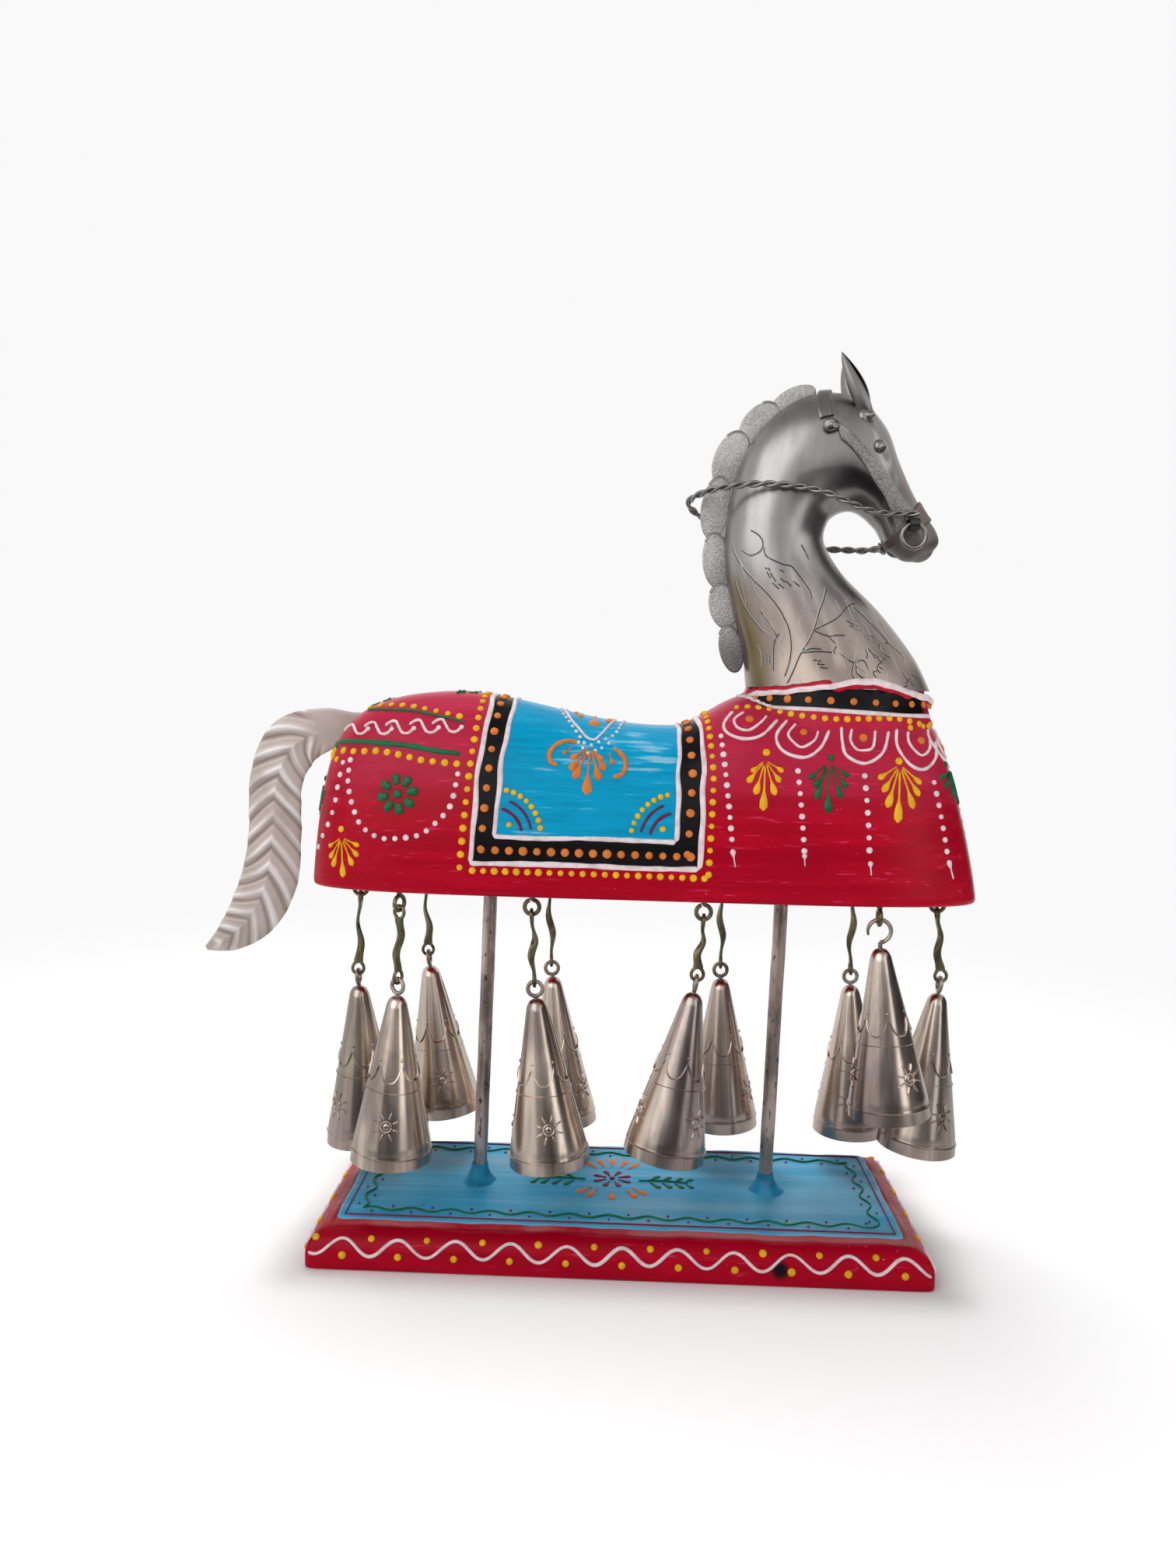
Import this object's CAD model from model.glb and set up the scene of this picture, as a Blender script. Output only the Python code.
"""Painted wooden horse with a sheet-metal head, hung with cone bells, dressed round its CAD frame.

Lengths in this file are in millimetres, in the frame of the CAD model, until a piece is laid in metres.
"""
from collections import namedtuple

import bmesh
import bpy
import numpy as np
from mathutils import Matrix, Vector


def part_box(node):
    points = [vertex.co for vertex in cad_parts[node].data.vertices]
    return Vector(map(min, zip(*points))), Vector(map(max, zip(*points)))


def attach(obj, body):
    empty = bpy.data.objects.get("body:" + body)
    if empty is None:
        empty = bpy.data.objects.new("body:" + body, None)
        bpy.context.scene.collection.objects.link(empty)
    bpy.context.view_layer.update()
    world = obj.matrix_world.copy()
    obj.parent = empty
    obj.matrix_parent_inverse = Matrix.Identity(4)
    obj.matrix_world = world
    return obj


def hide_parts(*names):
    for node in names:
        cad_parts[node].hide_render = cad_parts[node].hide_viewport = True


bl_info = {
    "name": "Painted horse with bells",
    "version": (1, 0, 0),
    "blender": (4, 5, 0),
    "location": "View3D > Sidebar > Horse",
    "description": "Builds a painted wooden horse with a metal head, hung with cone bells",
    "category": "Add Mesh",
}

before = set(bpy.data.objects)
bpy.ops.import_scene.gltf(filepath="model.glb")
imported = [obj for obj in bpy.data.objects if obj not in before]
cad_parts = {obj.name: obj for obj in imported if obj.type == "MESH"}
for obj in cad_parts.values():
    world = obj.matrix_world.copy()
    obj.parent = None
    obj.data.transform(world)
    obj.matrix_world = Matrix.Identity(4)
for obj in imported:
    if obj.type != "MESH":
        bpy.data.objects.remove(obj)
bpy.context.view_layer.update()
MM = 0.001

# Body: length, width, place of its middle, height of the belly
LENGTH, WIDTH, SHIFT, BELLY = 251.0, 78.0, 5.5, 137.0
# Heights of rump, dip and shoulder above the belly, and the rounding of the belly's edge
RUMP, DIP, SHOULDER, EDGE = 74.5, 62.5, 75.0, 2.5
# The dip's rear and front ends ahead of the body's middle, and the lengths in which rump and shoulder rise
DIP_REAR, DIP_FORE, RUMP_RUN, SHOULDER_RUN = 5.0, 10.0, 87.0, 36.0
# Steps round the belly's edge
EDGE_STEPS = 6
# Leans of rump, chest and sides at the shoulder's height, as shares, and the power by which they grow
LEAN_REAR, LEAN_FORE, LEAN_SIDE, LEAN_POWER = 0.05, 0.145, 0.08, 1.2
# Powers of the plan, of the fall at rump and chest, and of the sections
PLAN_POWER, RUMP_POWER, CHEST_POWER, SECTION_POWER = 4.5, 6.0, 12.0, 2.6
# Collar: height above the belly, length and width of its top, place ahead of the body's middle
COLLAR_H, COLLAR_L, COLLAR_W, COLLAR_AHEAD = 78.0, 70.0, 48.0, 73.0
COLLAR = np.array([SHIFT + COLLAR_AHEAD, 0.0, BELLY + COLLAR_H])
# The collar's cone: how much it widens with depth, and the depth where it stops widening
CONE_SLOPE, CONE_DEPTH = 0.15, 40.0
# Painted places are stations from a mark ahead of the body's middle, and girths from the belly's edge
MARK = 1.0
# Base board: half length and width, height of the foot, depth and height of the nose, whole height
# and the panel's inset
BASE_X, BASE_Y, FOOT, NOSE_D, NOSE_H, BASE_H, RIM = 114.5, 48.0, 5.0, 8.2, 8.6, 15.5, 9.5
# Place along the front of one crest of the wave round the base, and how low panel and paint on it lie
CREST_X, PANEL_DIP, PANEL_PAINT = -100.0, 0.18, 0.16
# Posts: places at mid height, lean in degrees, radius, and heights of their ends
POSTS, POST_LEAN, POST_R, POST_FOOT, POST_TOP = (-54.7, 59.3), 1.15, 2.75, 6.0, 160.0

# Head rows from the collar up and round to the nose: crest point, throat point and half width
HEAD = np.array([
    [-35, 0, 35, 0, 24], [-37, 14, 28, 13, 21], [-41.5, 30, 14.5, 29.5, 18], [-44.5, 45, 0, 43.5, 16],
    [-45, 59, -7.3, 55, 15], [-43, 74, -6.5, 62.5, 15], [-37, 91, -3, 66, 15.5],
    [-25.5, 104.5, 1, 67.3, 15.5], [-10.5, 111, 4.5, 66.8, 15], [3.5, 108.5, 7.7, 64.9, 14.5],
    [13.5, 99, 10, 62.8, 14],
    [19, 86.5, 12.3, 60.5, 12.5], [24.5, 75.5, 14, 57.5, 10.5], [29.7, 67, 15.7, 54.3, 9.8],
    [34, 61.3, 19, 51.8, 9.2], [35.8, 56.5, 23, 49.3, 7.8], [34, 53, 27, 49, 4.5],
])
# Scallops of the mane: row along the crest, distance of the middle from it, half length and half width
MANE = [(1.08, 3.9, 8.4, 4.6), (2.08, 2.9, 8, 5.5), (3.22, 3.4, 9.5, 5), (4.54, 4.5, 10.9, 5.6),
        (5.61, 4.2, 9.9, 6.2), (6.48, 2.1, 8.5, 5.7), (7.36, 0.8, 8.2, 4.5)]
# Thickness of the mane, how much longer a scallop is drawn, and first row, last row and width of the strip
# that carries the scallops
MANE_T, MANE_STRETCH, MANE_STRIP = 1.6, 1.1, (0.7, 6.9, 3.6)
# Tail rows from inside the rump: place behind and below the root, and half width
TAIL = np.array([
    [9, 0.2, 6.6], [0, 0, 7], [-11, -0.4, 8.6], [-23.2, -6.3, 11], [-29.4, -20.5, 10.4], [-29.9, -42.5, 10.5],
    [-31.9, -59.5, 11.2], [-38, -73.3, 10.2], [-47.2, -82.8, 6.5], [-57, -88.2, 1],
])
# The tail's root: height above the belly, and how deep it is set in the rump
TAIL_RISE, TAIL_SET = 57.5, 6.0
TAIL_ROOT = np.array([
    SHIFT - LENGTH / 2 * (1 - LEAN_REAR * (TAIL_RISE / SHOULDER) ** LEAN_POWER) + TAIL_SET, 0.0,
    BELLY + TAIL_RISE,
])
# Ears: row and angle of the foot, and height
EAR = (9.05, 39.0, 22.5)
# The rein's route from the middle of the collar's top, right hand first
REIN = [
    [12, -15.6, 64.6], [4, -17.2, 66], [-4, -18, 69], [-13, -18.6, 72], [-24, -18.6, 73.6],
    [-35, -17.4, 74], [-45, -14, 73.5], [-52.5, -9, 72.5], [-57, -4, 71], [-59, 1, 69.7],
    [-57, 6, 67.4], [-51, 11, 64.6], [-43, 15.4, 62], [-31, 18, 59.2], [-18, 18.4, 56.6],
    [-5, 17.6, 55.2], [5, 15, 54.6], [10.5, 12.2, 54.2],
]
REIN_PITCH, STRAND_R = 11.0, 0.7
# Bridle: thickness of the bands, their play on the head, the noseband's row, and widths of the three bands
BAND_T, BAND_PLAY, NOSE_ROW, CROWN_W, CHEEK_W, NOSE_W = 0.9, 0.12, 13.0, 5.0, 7.6, 6.0
# The cheek straps' route in rows and angles
CHEEK = [(7.9, 75), (9.2, 103), (11, 99), (12.5, 92)]
# Radius of a bit ring's wire
RING_R = 0.9
# Knuckles of the noseband: radius, length, and angles from the crest of a knuckle and of the rein's far end
KNUCKLE_R, KNUCKLE_L, KNUCKLE_ANGLE, REIN_FAR_ANGLE = 2.2, 3.6, 84.0, 137.0
# Hanging bells: place on the belly, link length (0 for a bell on its own hook), turn of the eye, twist
# between the link's ends, and leans of link and bell
Hang = namedtuple("Hang", "x y link turn twist lean tilt")
HANGS = [
    Hang(-105, 0, 29, 0, 270, -1.5, 3), Hang(-84, -30, 24.5, 60, 270, -0.5, -1.5),
    Hang(-84, 30, 27.5, 0, 270, 2.5, 7), Hang(-35, -30, 24, 0, 360, 3.5, 6),
    Hang(-32, 30, 30.5, 0, 360, 2.5, 4.5), Hang(28, -30, 20, 0, 270, -4.5, -8.5),
    Hang(40, 30, 29, 0, 360, 0.5, 2), Hang(94, 30, 30, 0, 360, 1, 2), Hang(92, -30, 0, 90, 0, 0, 5.5),
    Hang(121, 0, 25, 0, 270, 6, -5.5),
]
# Turn of each bell's first sun to the right of its front, in degrees
SUNS = (-43, 0, 10, 8, 60, 43, 60, -10, 28, 24)
# Screw eyes and links: radius of the wire, radius and neck of an eye, thickness and width of the strip,
# bore and wall of its ends
WIRE_R, EYE_R, EYE_NECK, LINK_T, LINK_W, BORE_R, LINK_WALL = 0.8, 2.7, 1.2, 1.3, 3.0, 1.6, 1.3
# Play of a hanging piece, radius and neck of the open hook, neck of a loop
HANG_GAP, HOOK_R, HOOK_NECK, LOOP_NECK = 0.2, 4.2, 1.5, 0.3
EYE_WIRE_Z = BELLY - EYE_NECK - WIRE_R - 2 * EYE_R
HANG_DROP = BORE_R - WIRE_R - HANG_GAP
# Bells: height, radius at mouth and top, sheet, height of the rim and how much it widens
BELL_H, BELL_R, BELL_TOP_R, BELL_T, BELL_RIM_H, BELL_FLARE = 62.0, 15.0, 3.2, 0.8, 6.0, 0.5
# Thickness of a bell's closed top, and radius of the inner loop and of its wire
CAP_T, INNER_R, INNER_WIRE_R = 1.5, 1.6, 0.6
# Depths of a bell's stamped lines below its top: two rings, lowest places of the arcs, dots and suns
RING_DEPTHS, ARC_DEPTH, DOT_DEPTH, SUN_DEPTH = (34.0, 57.4), 30.4, 22.4, 45.5

# Camera: place, yaw, pitch and roll in radians, sensor, and focal length and height of the picture in pixels
CAMERA_PLACE, CAMERA_TURNS, SENSOR = (-4.0, -455.5, 213.0), (0.0271, 0.0815, 0.0250), 36.0
FOCAL_PIXELS, PICTURE_PIXELS = 1508, 2016

# Tints that no setting changes, in linear light
FLECK, RUBBED_RED, WORN_BLUE = (0.72, 0.5, 0.5), (0.5, 0.2, 0.2), (0.62, 0.8, 0.86)
PANEL_DEEP, PANEL_PALE, PANEL_WORN = (0.035, 0.46, 0.8), (0.16, 0.6, 0.9), (0.46, 0.44, 0.4)
KNOT, KNOT_PLACE = (0.012, 0.006, 0.008), (0.0585, -0.0475, 0.0063)
NECK_WARM, MUZZLE_BROWN, NECK_OLIVE = (0.33, 0.255, 0.205), (0.2, 0.15, 0.135), (0.17, 0.125, 0.05)
HEAD_SHADE, CREASE, SCRATCH = (0.07, 0.056, 0.06), (0.26, 0.23, 0.21), (0.1, 0.08, 0.07)
TAIL_ROSY, TAIL_CREASE, TAIL_RIDGE = (0.56, 0.42, 0.42), (0.27, 0.21, 0.18), (0.86, 0.83, 0.82)
BELL_CLOUD, BELL_DUSK, BELL_STAIN = (0.27, 0.205, 0.21), (0.2, 0.16, 0.18), (0.36, 0.26, 0.14)
BURR_STAIN, EAR_STAIN, STRAP_STAIN = (0.6, 0.52, 0.44), (0.3, 0.24, 0.18), (0.3, 0.24, 0.17)
NOSE_DULL, NOSE_STAIN, TAB_STAIN = (0.21, 0.165, 0.15), (0.2, 0.14, 0.11), (0.08, 0.04, 0.06)
ROD_SPECK, BRASS_SPECK, LOOP_SPECK = (0.03, 0.02, 0.018), (0.02, 0.018, 0.012), (0.05, 0.04, 0.03)
CARD_DARK, FLOOR_PALE, FLOOR_FAR = (0.03, 0.03, 0.035), (0.95, 0.95, 0.955), (0.95, 0.95, 0.95)


# Settings that a user would change


def screen(red, green, blue):
    """A screen colour from 0 to 255 as the linear light that it stands for."""
    share = np.array([red, green, blue]) / 255
    return tuple(np.where(share <= 0.04045, share / 12.92, ((share + 0.055) / 1.055) ** 2.4).tolist())


def colour(name, description, red, green, blue):
    """A colour setting whose default is a screen colour."""
    return bpy.props.FloatVectorProperty(
        name=name, description=description, subtype="COLOR", size=3, min=0, max=1,
        default=screen(red, green, blue))


def length(name, description, default):
    """A length setting, in metres."""
    return bpy.props.FloatProperty(
        name=name, description=description, default=default, min=0, unit="LENGTH", precision=5)


class HorsePaints(bpy.types.PropertyGroup):
    """Colours of the paints and metals."""

    red: colour("Red", "Enamel of the body and the base", 192, 0, 38)
    rose: colour("Rose", "Red where it is rubbed pale", 204, 58, 94)
    blue: colour("Blue", "Saddle cloth, panel and filler", 2, 158, 204)
    black: colour("Black", "Borders of the saddle cloth and the collar", 16, 15, 18)
    white: colour("White", "Raised lines and dots", 252, 231, 234)
    yellow: colour("Yellow", "Dots and drops", 255, 192, 12)
    orange: colour("Orange", "Dots on the black borders, and petals", 232, 128, 48)
    green: colour("Green", "Leaves, lines and drops", 4, 104, 62)
    maroon: colour("Maroon", "Thin lines and dots on blue", 122, 16, 62)
    nickel: colour("Nickel", "Sheet of the head and the mane", 155, 152, 151)
    bell: colour("Bell metal", "Rolled sheet of the bells", 194, 180, 167)
    tail: colour("Tail", "Pale sheet of the tail", 205, 192, 184)
    brass: colour("Old brass", "Links and screw eyes", 126, 120, 92)
    rod: colour("Rod", "Worn metal of the posts", 184, 168, 160)
    wood: colour("Bare wood", "Plug in the neck", 186, 146, 98)


class HorseSizes(bpy.types.PropertyGroup):
    """Sizes of the paint and of the worked metal."""

    dot: length("Dot", "Diameter of a painted dot", 0.0025)
    line: length("Line", "Width of a painted line", 0.0017)
    relief: length("Relief", "Height of the paint above the wood", 0.0007)
    wave: length("Wave", "Length of one wave round the base", 0.0203)
    pleat: length("Pleat", "Depth of a pleat in the tail", 0.0011)
    stamp: length("Stamp", "Height of the lines stamped in a bell", 0.00036)


# Shader maths


class Wire:
    """A shader socket to reckon with: + - * / on it add Math nodes."""

    def __init__(self, tree, socket=None):
        self.tree = tree
        self.socket = socket

    def node(self, kind, settings=None, inputs=None, out=0):
        """Adds a node: its settings first, then the values or links of its sockets."""
        made = self.tree.nodes.new(kind)
        for key, value in (settings or {}).items():
            setattr(made, key, value)
        for key, value in (inputs or {}).items():
            if isinstance(value, Wire):
                self.tree.links.new(value.socket, made.inputs[key])
            else:
                made.inputs[key].default_value = value
        return Wire(self.tree, made.outputs[out] if made.outputs else None)

    def math(self, operation, first, second=0.0):
        """One Math node."""
        return self.node("ShaderNodeMath", {"operation": operation}, {0: first, 1: second})

    def __add__(self, other):
        return self.math("ADD", self, other)

    def __radd__(self, other):
        return self.math("ADD", other, self)

    def __sub__(self, other):
        return self.math("SUBTRACT", self, other)

    def __rsub__(self, other):
        return self.math("SUBTRACT", other, self)

    def __mul__(self, other):
        return self.math("MULTIPLY", self, other)

    def __rmul__(self, other):
        return self.math("MULTIPLY", other, self)

    def __truediv__(self, other):
        return self.math("DIVIDE", self, other)

    def __rtruediv__(self, other):
        return self.math("DIVIDE", other, self)

    def step(self, low, high):
        """0 below low and 1 above high, eased between them."""
        return self.node("ShaderNodeMapRange", {"interpolation_type": "SMOOTHSTEP"},
                         {"Value": self, "From Min": low, "From Max": high})

    def blend(self, first, second):
        """The first colour where this is 0 and the second where it is 1."""
        return self.node("ShaderNodeMix", {"data_type": "RGBA"}, {0: self, 6: first, 7: second}, 2)

    def tones(self, low, high, tint, dark, light):
        """A tint that goes from its dark share to its light share as this goes from low to high."""
        return self.step(low, high).blend(rgba(tint, dark), rgba(tint, light))

    def place(self):
        """Object coordinates, in metres."""
        return self.node("ShaderNodeTexCoord", out="Object")

    def part(self, axis):
        """One of this place's three coordinates."""
        return self.node("ShaderNodeSeparateXYZ", {}, {0: self}, axis)

    def vector(self, operation, other=(0, 0, 0), out="Vector"):
        """One Vector Math node."""
        return self.node("ShaderNodeVectorMath", {"operation": operation}, {0: self, 1: other}, out)

    def stretched(self, x, y, z):
        """This place with each direction stretched."""
        return self.node("ShaderNodeMapping", {}, {"Vector": self, "Scale": (x, y, z)})

    def noise(self, scale, detail=3.0, roughness=0.55):
        """Cloudy noise from 0 to 1 at this place."""
        return self.node("ShaderNodeTexNoise", {},
                         {"Vector": self, "Scale": scale, "Detail": detail, "Roughness": roughness})

    def bump(self, strength, distance):
        """A normal that follows this value as a height."""
        return self.node("ShaderNodeBump", {}, {"Height": self, "Strength": strength, "Distance": distance})

    def attribute(self, name):
        """A value that is stored on the piece's points."""
        return self.node("ShaderNodeAttribute", {"attribute_name": name}, out="Fac")


def rgba(value, share=1.0):
    """A colour setting as a socket's value, darkened or lightened by a share."""
    return tuple(min(1.0, part * share) for part in value) + (1.0,)


def finish(name, recipe, *settings):
    """A material of that name: the recipe returns the values and links of the main shader's sockets."""
    made = bpy.data.materials.get(name)
    if made is None:
        made = bpy.data.materials.new(name)
        made.use_nodes = True
        made.node_tree.nodes.clear()
        wire = Wire(made.node_tree)
        shader = wire.node("ShaderNodeBsdfPrincipled", {}, recipe(wire, *settings))
        wire.node("ShaderNodeOutputMaterial", {}, {"Surface": shader})
    return made


def enamel(wire, base, pale):
    """Brushed enamel: streaks along the wood, paler high up and where it is scuffed."""
    place = wire.place()
    streaks = place.stretched(14, 130, 190).noise(1.0, 5)
    fine = place.stretched(95, 950, 950).noise(1.0, 4)
    clouds = place.noise(26, 4)
    rubbed = (place.part(2) + (streaks - 0.5) * 0.02).step(0.166, 0.188) * (0.22 + 0.5 * clouds)
    scuffs = fine.step(0.6, 0.68) * streaks.step(0.44, 0.58) * (0.35 + 0.65 * clouds)
    flecks = place.noise(520, 2).step(0.73, 0.77) * clouds.step(0.5, 0.62)
    tone = (streaks * 0.55 + clouds * 0.25).tones(0.25, 0.6, base, 0.78, 1.08)
    shown = scuffs.blend(rubbed.blend(tone, rgba(pale)), rgba(pale, 1.25))
    shown = (flecks * 0.8).blend(shown, rgba(FLECK))
    return place, shown, streaks, fine, clouds


def red_paint(wire, paints):
    """Enamel of the body, with saddle cloth and black borders where the stored distances are positive."""
    place, red, streaks, fine, clouds = enamel(wire, paints.red, paints.rose)
    cloth, border, collar = (wire.attribute(key).step(-0.15, 0.15) for key in ("cloth", "saddle", "collar"))
    black = (place.stretched(60, 60, 240).noise(1.0, 4) * 0.6).tones(0.28, 0.42, paints.black, 1.0, 2.2)
    weave = place.stretched(55, 420, 700).noise(1.0, 4)
    blue = (weave * 0.6 + clouds * 0.4).tones(0.35, 0.65, paints.blue, 0.9, 1.2)
    blue = ((weave * clouds).step(0.31, 0.42) * 0.45).blend(blue, rgba(WORN_BLUE))
    shown = cloth.blend(collar.blend(border.blend(red, black), black), blue)
    height = streaks * 0.7 + fine * 0.3
    return {"Base Color": shown, "Roughness": 0.17 + 0.2 * streaks, "Specular IOR Level": 0.11,
            "Normal": height.bump(0.32, 0.0006)}


def board_paint(wire, paints):
    """Enamel of the base board: red with one knot, and blue where the stored distance is positive."""
    place, red, streaks, _, clouds = enamel(wire, paints.red, paints.rose)
    grain = place.stretched(9, 170, 170).noise(1.0, 5)
    patches = place.stretched(1, 1.6, 1).noise(17, 3)
    panel = (wire.attribute("panel") + (clouds - 0.5) * 0.7).step(-0.12, 0.12)
    worn = patches.step(0.5, 0.68) * (0.62 - 0.42 * place.part(0).step(-0.06, 0.02))
    blue = grain.step(0.3, 0.66).blend(rgba(PANEL_DEEP), rgba(PANEL_PALE))
    blue = worn.blend(blue, rgba(PANEL_WORN))
    blue = (clouds.step(0.58, 0.74) * 0.35).blend(blue, rgba(paints.blue, 0.7))
    rubbed = wire.attribute("rim").step(0.35, 1.0) * clouds.step(0.35, 0.62)
    red = (rubbed * 0.75).blend(red, rgba(RUBBED_RED))
    away = place.vector("DISTANCE", KNOT_PLACE, "Value")
    knot = 1 - (away + (clouds - 0.5) * 0.004).step(0.0022, 0.0048)
    shown = panel.blend(knot.blend(red, rgba(KNOT)), blue)
    height = streaks * 0.4 + grain * 0.6
    return {"Base Color": shown, "Roughness": 0.2 + 0.24 * streaks, "Specular IOR Level": 0.1,
            "Normal": height.bump(0.38, 0.0007)}


def raised_paint(wire, tint):
    """Thick paint from a cone: a little darker in hollows, with a soft skin."""
    place = wire.place()
    clouds = place.noise(300, 3)
    return {"Base Color": clouds.tones(0.3, 0.65, tint, 0.82, 1.08), "Roughness": 0.3 + 0.2 * clouds,
            "Specular IOR Level": 0.3, "Normal": place.noise(700, 2).bump(0.15, 0.0003)}


def sheet_metal(wire, tint, stain, rough):
    """Buffed sheet: fine grain, soft clouds of tarnish and a warm stain in places."""
    place = wire.place()
    clouds = place.noise(38, 4)
    grain = place.noise(1500, 2)
    stains = place.stretched(1, 1, 0.5).noise(24, 3)
    shown = clouds.tones(0.3, 0.7, tint, 0.8, 1.06)
    shown = (stains.step(0.56, 0.72) * 0.5).blend(shown, rgba(stain))
    return {"Base Color": shown, "Metallic": 1.0, "Roughness": rough + 0.08 * clouds + 0.05 * grain,
            "Normal": (grain * 0.3 + clouds * 0.7).bump(0.05, 0.0003)}


def head_metal(wire, tint):
    """Buffed head sheet: brushed tarnish, warm towards the collar, and the stored brown, dark and olive."""
    place = wire.place()
    clouds = place.noise(38, 4)
    grain = place.noise(1500, 2)
    brushed = place.stretched(1, 1, 0.12).noise(240, 4)
    shown = (clouds * 0.6 + brushed * 0.4).tones(0.32, 0.68, tint, 0.74, 1.12)
    warm = 1 - (place.part(2) + (clouds - 0.5) * 0.05).step(0.225, 0.275)
    shown = (warm * 0.7).blend(shown, rgba(NECK_WARM))
    brown = wire.attribute("brown")
    shown = (brown * (0.6 + 0.6 * clouds)).blend(shown, rgba(MUZZLE_BROWN))
    shade = wire.attribute("shade") * (0.6 + 0.8 * clouds)
    shown = (shade.step(0.1, 0.95) * 0.9).blend(shown, rgba(HEAD_SHADE))
    olive = wire.attribute("olive") * (0.5 + clouds)
    shown = (olive.step(0.2, 1.0) * 0.85).blend(shown, rgba(NECK_OLIVE))
    rough = 0.24 + 0.08 * clouds + 0.04 * grain + 0.45 * brown
    return {"Base Color": shown, "Metallic": 1.0, "Roughness": rough,
            "Normal": (grain * 0.3 + clouds * 0.7).bump(0.05, 0.0003)}


def pressed_metal(wire, tint):
    """Pale worn sheet: the stored press is bright on ridges and dark in the creases under them."""
    place = wire.place()
    clouds = place.noise(60, 4)
    press = wire.attribute("press")
    rosy = place.noise(30, 2).step(0.5, 0.7)
    shown = (rosy * 0.4).blend(clouds.tones(0.3, 0.7, tint, 0.8, 1.05), rgba(TAIL_ROSY))
    shown = ((0 - press).step(0.08, 0.5) * 0.65).blend(shown, rgba(TAIL_CREASE))
    shown = ((press + (clouds - 0.5) * 0.7).step(0.3, 0.85) * 0.9).blend(shown, rgba(TAIL_RIDGE))
    return {"Base Color": shown, "Metallic": 0.35, "Roughness": 0.4 + 0.15 * clouds,
            "Normal": place.noise(900, 3).bump(0.2, 0.0003)}


def rolled_metal(wire, tint):
    """Rolled and buffed sheet: streaks, stains and specks, dusky ahead and paler on the far side."""
    place = wire.place()
    streaks = place.stretched(1, 1, 0.06).noise(420, 3)
    broad = place.stretched(1, 1, 0.08).noise(75, 2)
    specks = place.noise(700, 2).step(0.72, 0.77)
    shown = (streaks * 0.25 + broad * 0.75).tones(0.36, 0.64, tint, 0.5, 1.36)
    shown = (place.noise(21, 2).step(0.5, 0.64) * 0.5).blend(shown, rgba(BELL_CLOUD))
    shown = (place.noise(60, 3).step(0.58, 0.74) * 0.45).blend(shown, rgba(BELL_STAIN))
    shown = (specks * 0.6).blend(shown, rgba(tint, 0.25))
    ahead = place.part(0)
    dusk = ahead.step(0.005, 0.02) * (0.46 - 0.3 * ahead.step(0.05, 0.08))
    shown = dusk.blend(shown, rgba(BELL_DUSK))
    shown = (place.part(1).step(0.008, 0.03) * 0.4).blend(shown, rgba(tint, 1.7))
    return {"Base Color": shown, "Metallic": 1.0, "Roughness": 0.16 + 0.14 * broad,
            "Normal": (streaks * 0.5 + broad).bump(0.05, 0.0003)}


def sandy_metal(wire, tint, rough):
    """Cast sheet with a sandy skin, dark at the foot of the neck."""
    place = wire.place()
    sand = place.noise(1150, 3, 0.7)
    clouds = place.noise(60, 3)
    shown = (sand * 0.6 + clouds * 0.4).tones(0.34, 0.66, tint, 0.72, 1.4)
    shown = (0.6 - 0.6 * place.part(2).step(0.226, 0.246)).blend(shown, rgba(tint, 0.3))
    return {"Base Color": shown, "Metallic": 0.7, "Roughness": rough + 0.15 * sand,
            "Normal": sand.bump(0.6, 0.0006)}


def old_metal(wire, tint, dark, rough):
    """Handled metal with dark specks and worn bright places."""
    place = wire.place()
    clouds = place.stretched(1, 1, 0.35).noise(190, 4)
    specks = place.stretched(1, 1, 0.5).noise(420, 3).step(0.6, 0.68)
    shown = (specks * 0.8).blend(clouds.tones(0.36, 0.64, tint, 0.62, 1.25), rgba(dark))
    return {"Base Color": shown, "Metallic": 0.92, "Roughness": rough + 0.22 * clouds,
            "Normal": clouds.bump(0.25, 0.0004)}


def scribed(wire, tint):
    """The dark bottom of a scribed line."""
    shown = wire.place().noise(400, 2).blend(rgba(tint, 0.35), rgba(tint, 1.2))
    return {"Base Color": shown, "Metallic": 0.7, "Roughness": 0.55}


def filler(wire, tint):
    """Painted filler, lumpy and dull in places."""
    lumps = wire.place().noise(170, 4)
    return {"Base Color": lumps.tones(0.3, 0.7, tint, 0.55, 1.05), "Roughness": 0.3 + 0.3 * lumps,
            "Normal": lumps.bump(0.5, 0.001)}


def bare_wood(wire, tint):
    """Plain turned wood with its grain upright."""
    grain = wire.place().stretched(220, 220, 14).noise(1.0, 5)
    return {"Base Color": grain.tones(0.3, 0.7, tint, 0.6, 1.1), "Roughness": 0.7,
            "Normal": grain.bump(0.3, 0.0004)}


# Surfaces


def unit(vectors):
    """Vectors scaled to length 1."""
    return vectors / np.maximum(np.linalg.norm(vectors, axis=-1, keepdims=True), 1e-12)


def ease(share):
    """0 to 1 with level ends: 3s^2 - 2s^3."""
    share = np.clip(share, 0, 1)
    return share * share * (3 - 2 * share)


def hump(value, middle, spread):
    """A bell curve of height 1."""
    return np.exp(-((value - middle) / spread) ** 2)


def xyz(x, y, z):
    """Points from their coordinates, spread to a common shape."""
    return np.stack(np.broadcast_arrays(x, y, z), -1)


def circle(count):
    """Angles evenly spaced once round."""
    return np.linspace(0, 2 * np.pi, count, endpoint=False)


def spokes(degrees):
    """Points of the unit circle at angles."""
    a = np.radians(degrees)
    return np.stack([np.cos(a), np.sin(a)], -1)


def distance_along(points):
    """Distance along a path to each of its points."""
    return np.r_[0, np.cumsum(np.linalg.norm(np.diff(points, axis=0), axis=1))]


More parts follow.
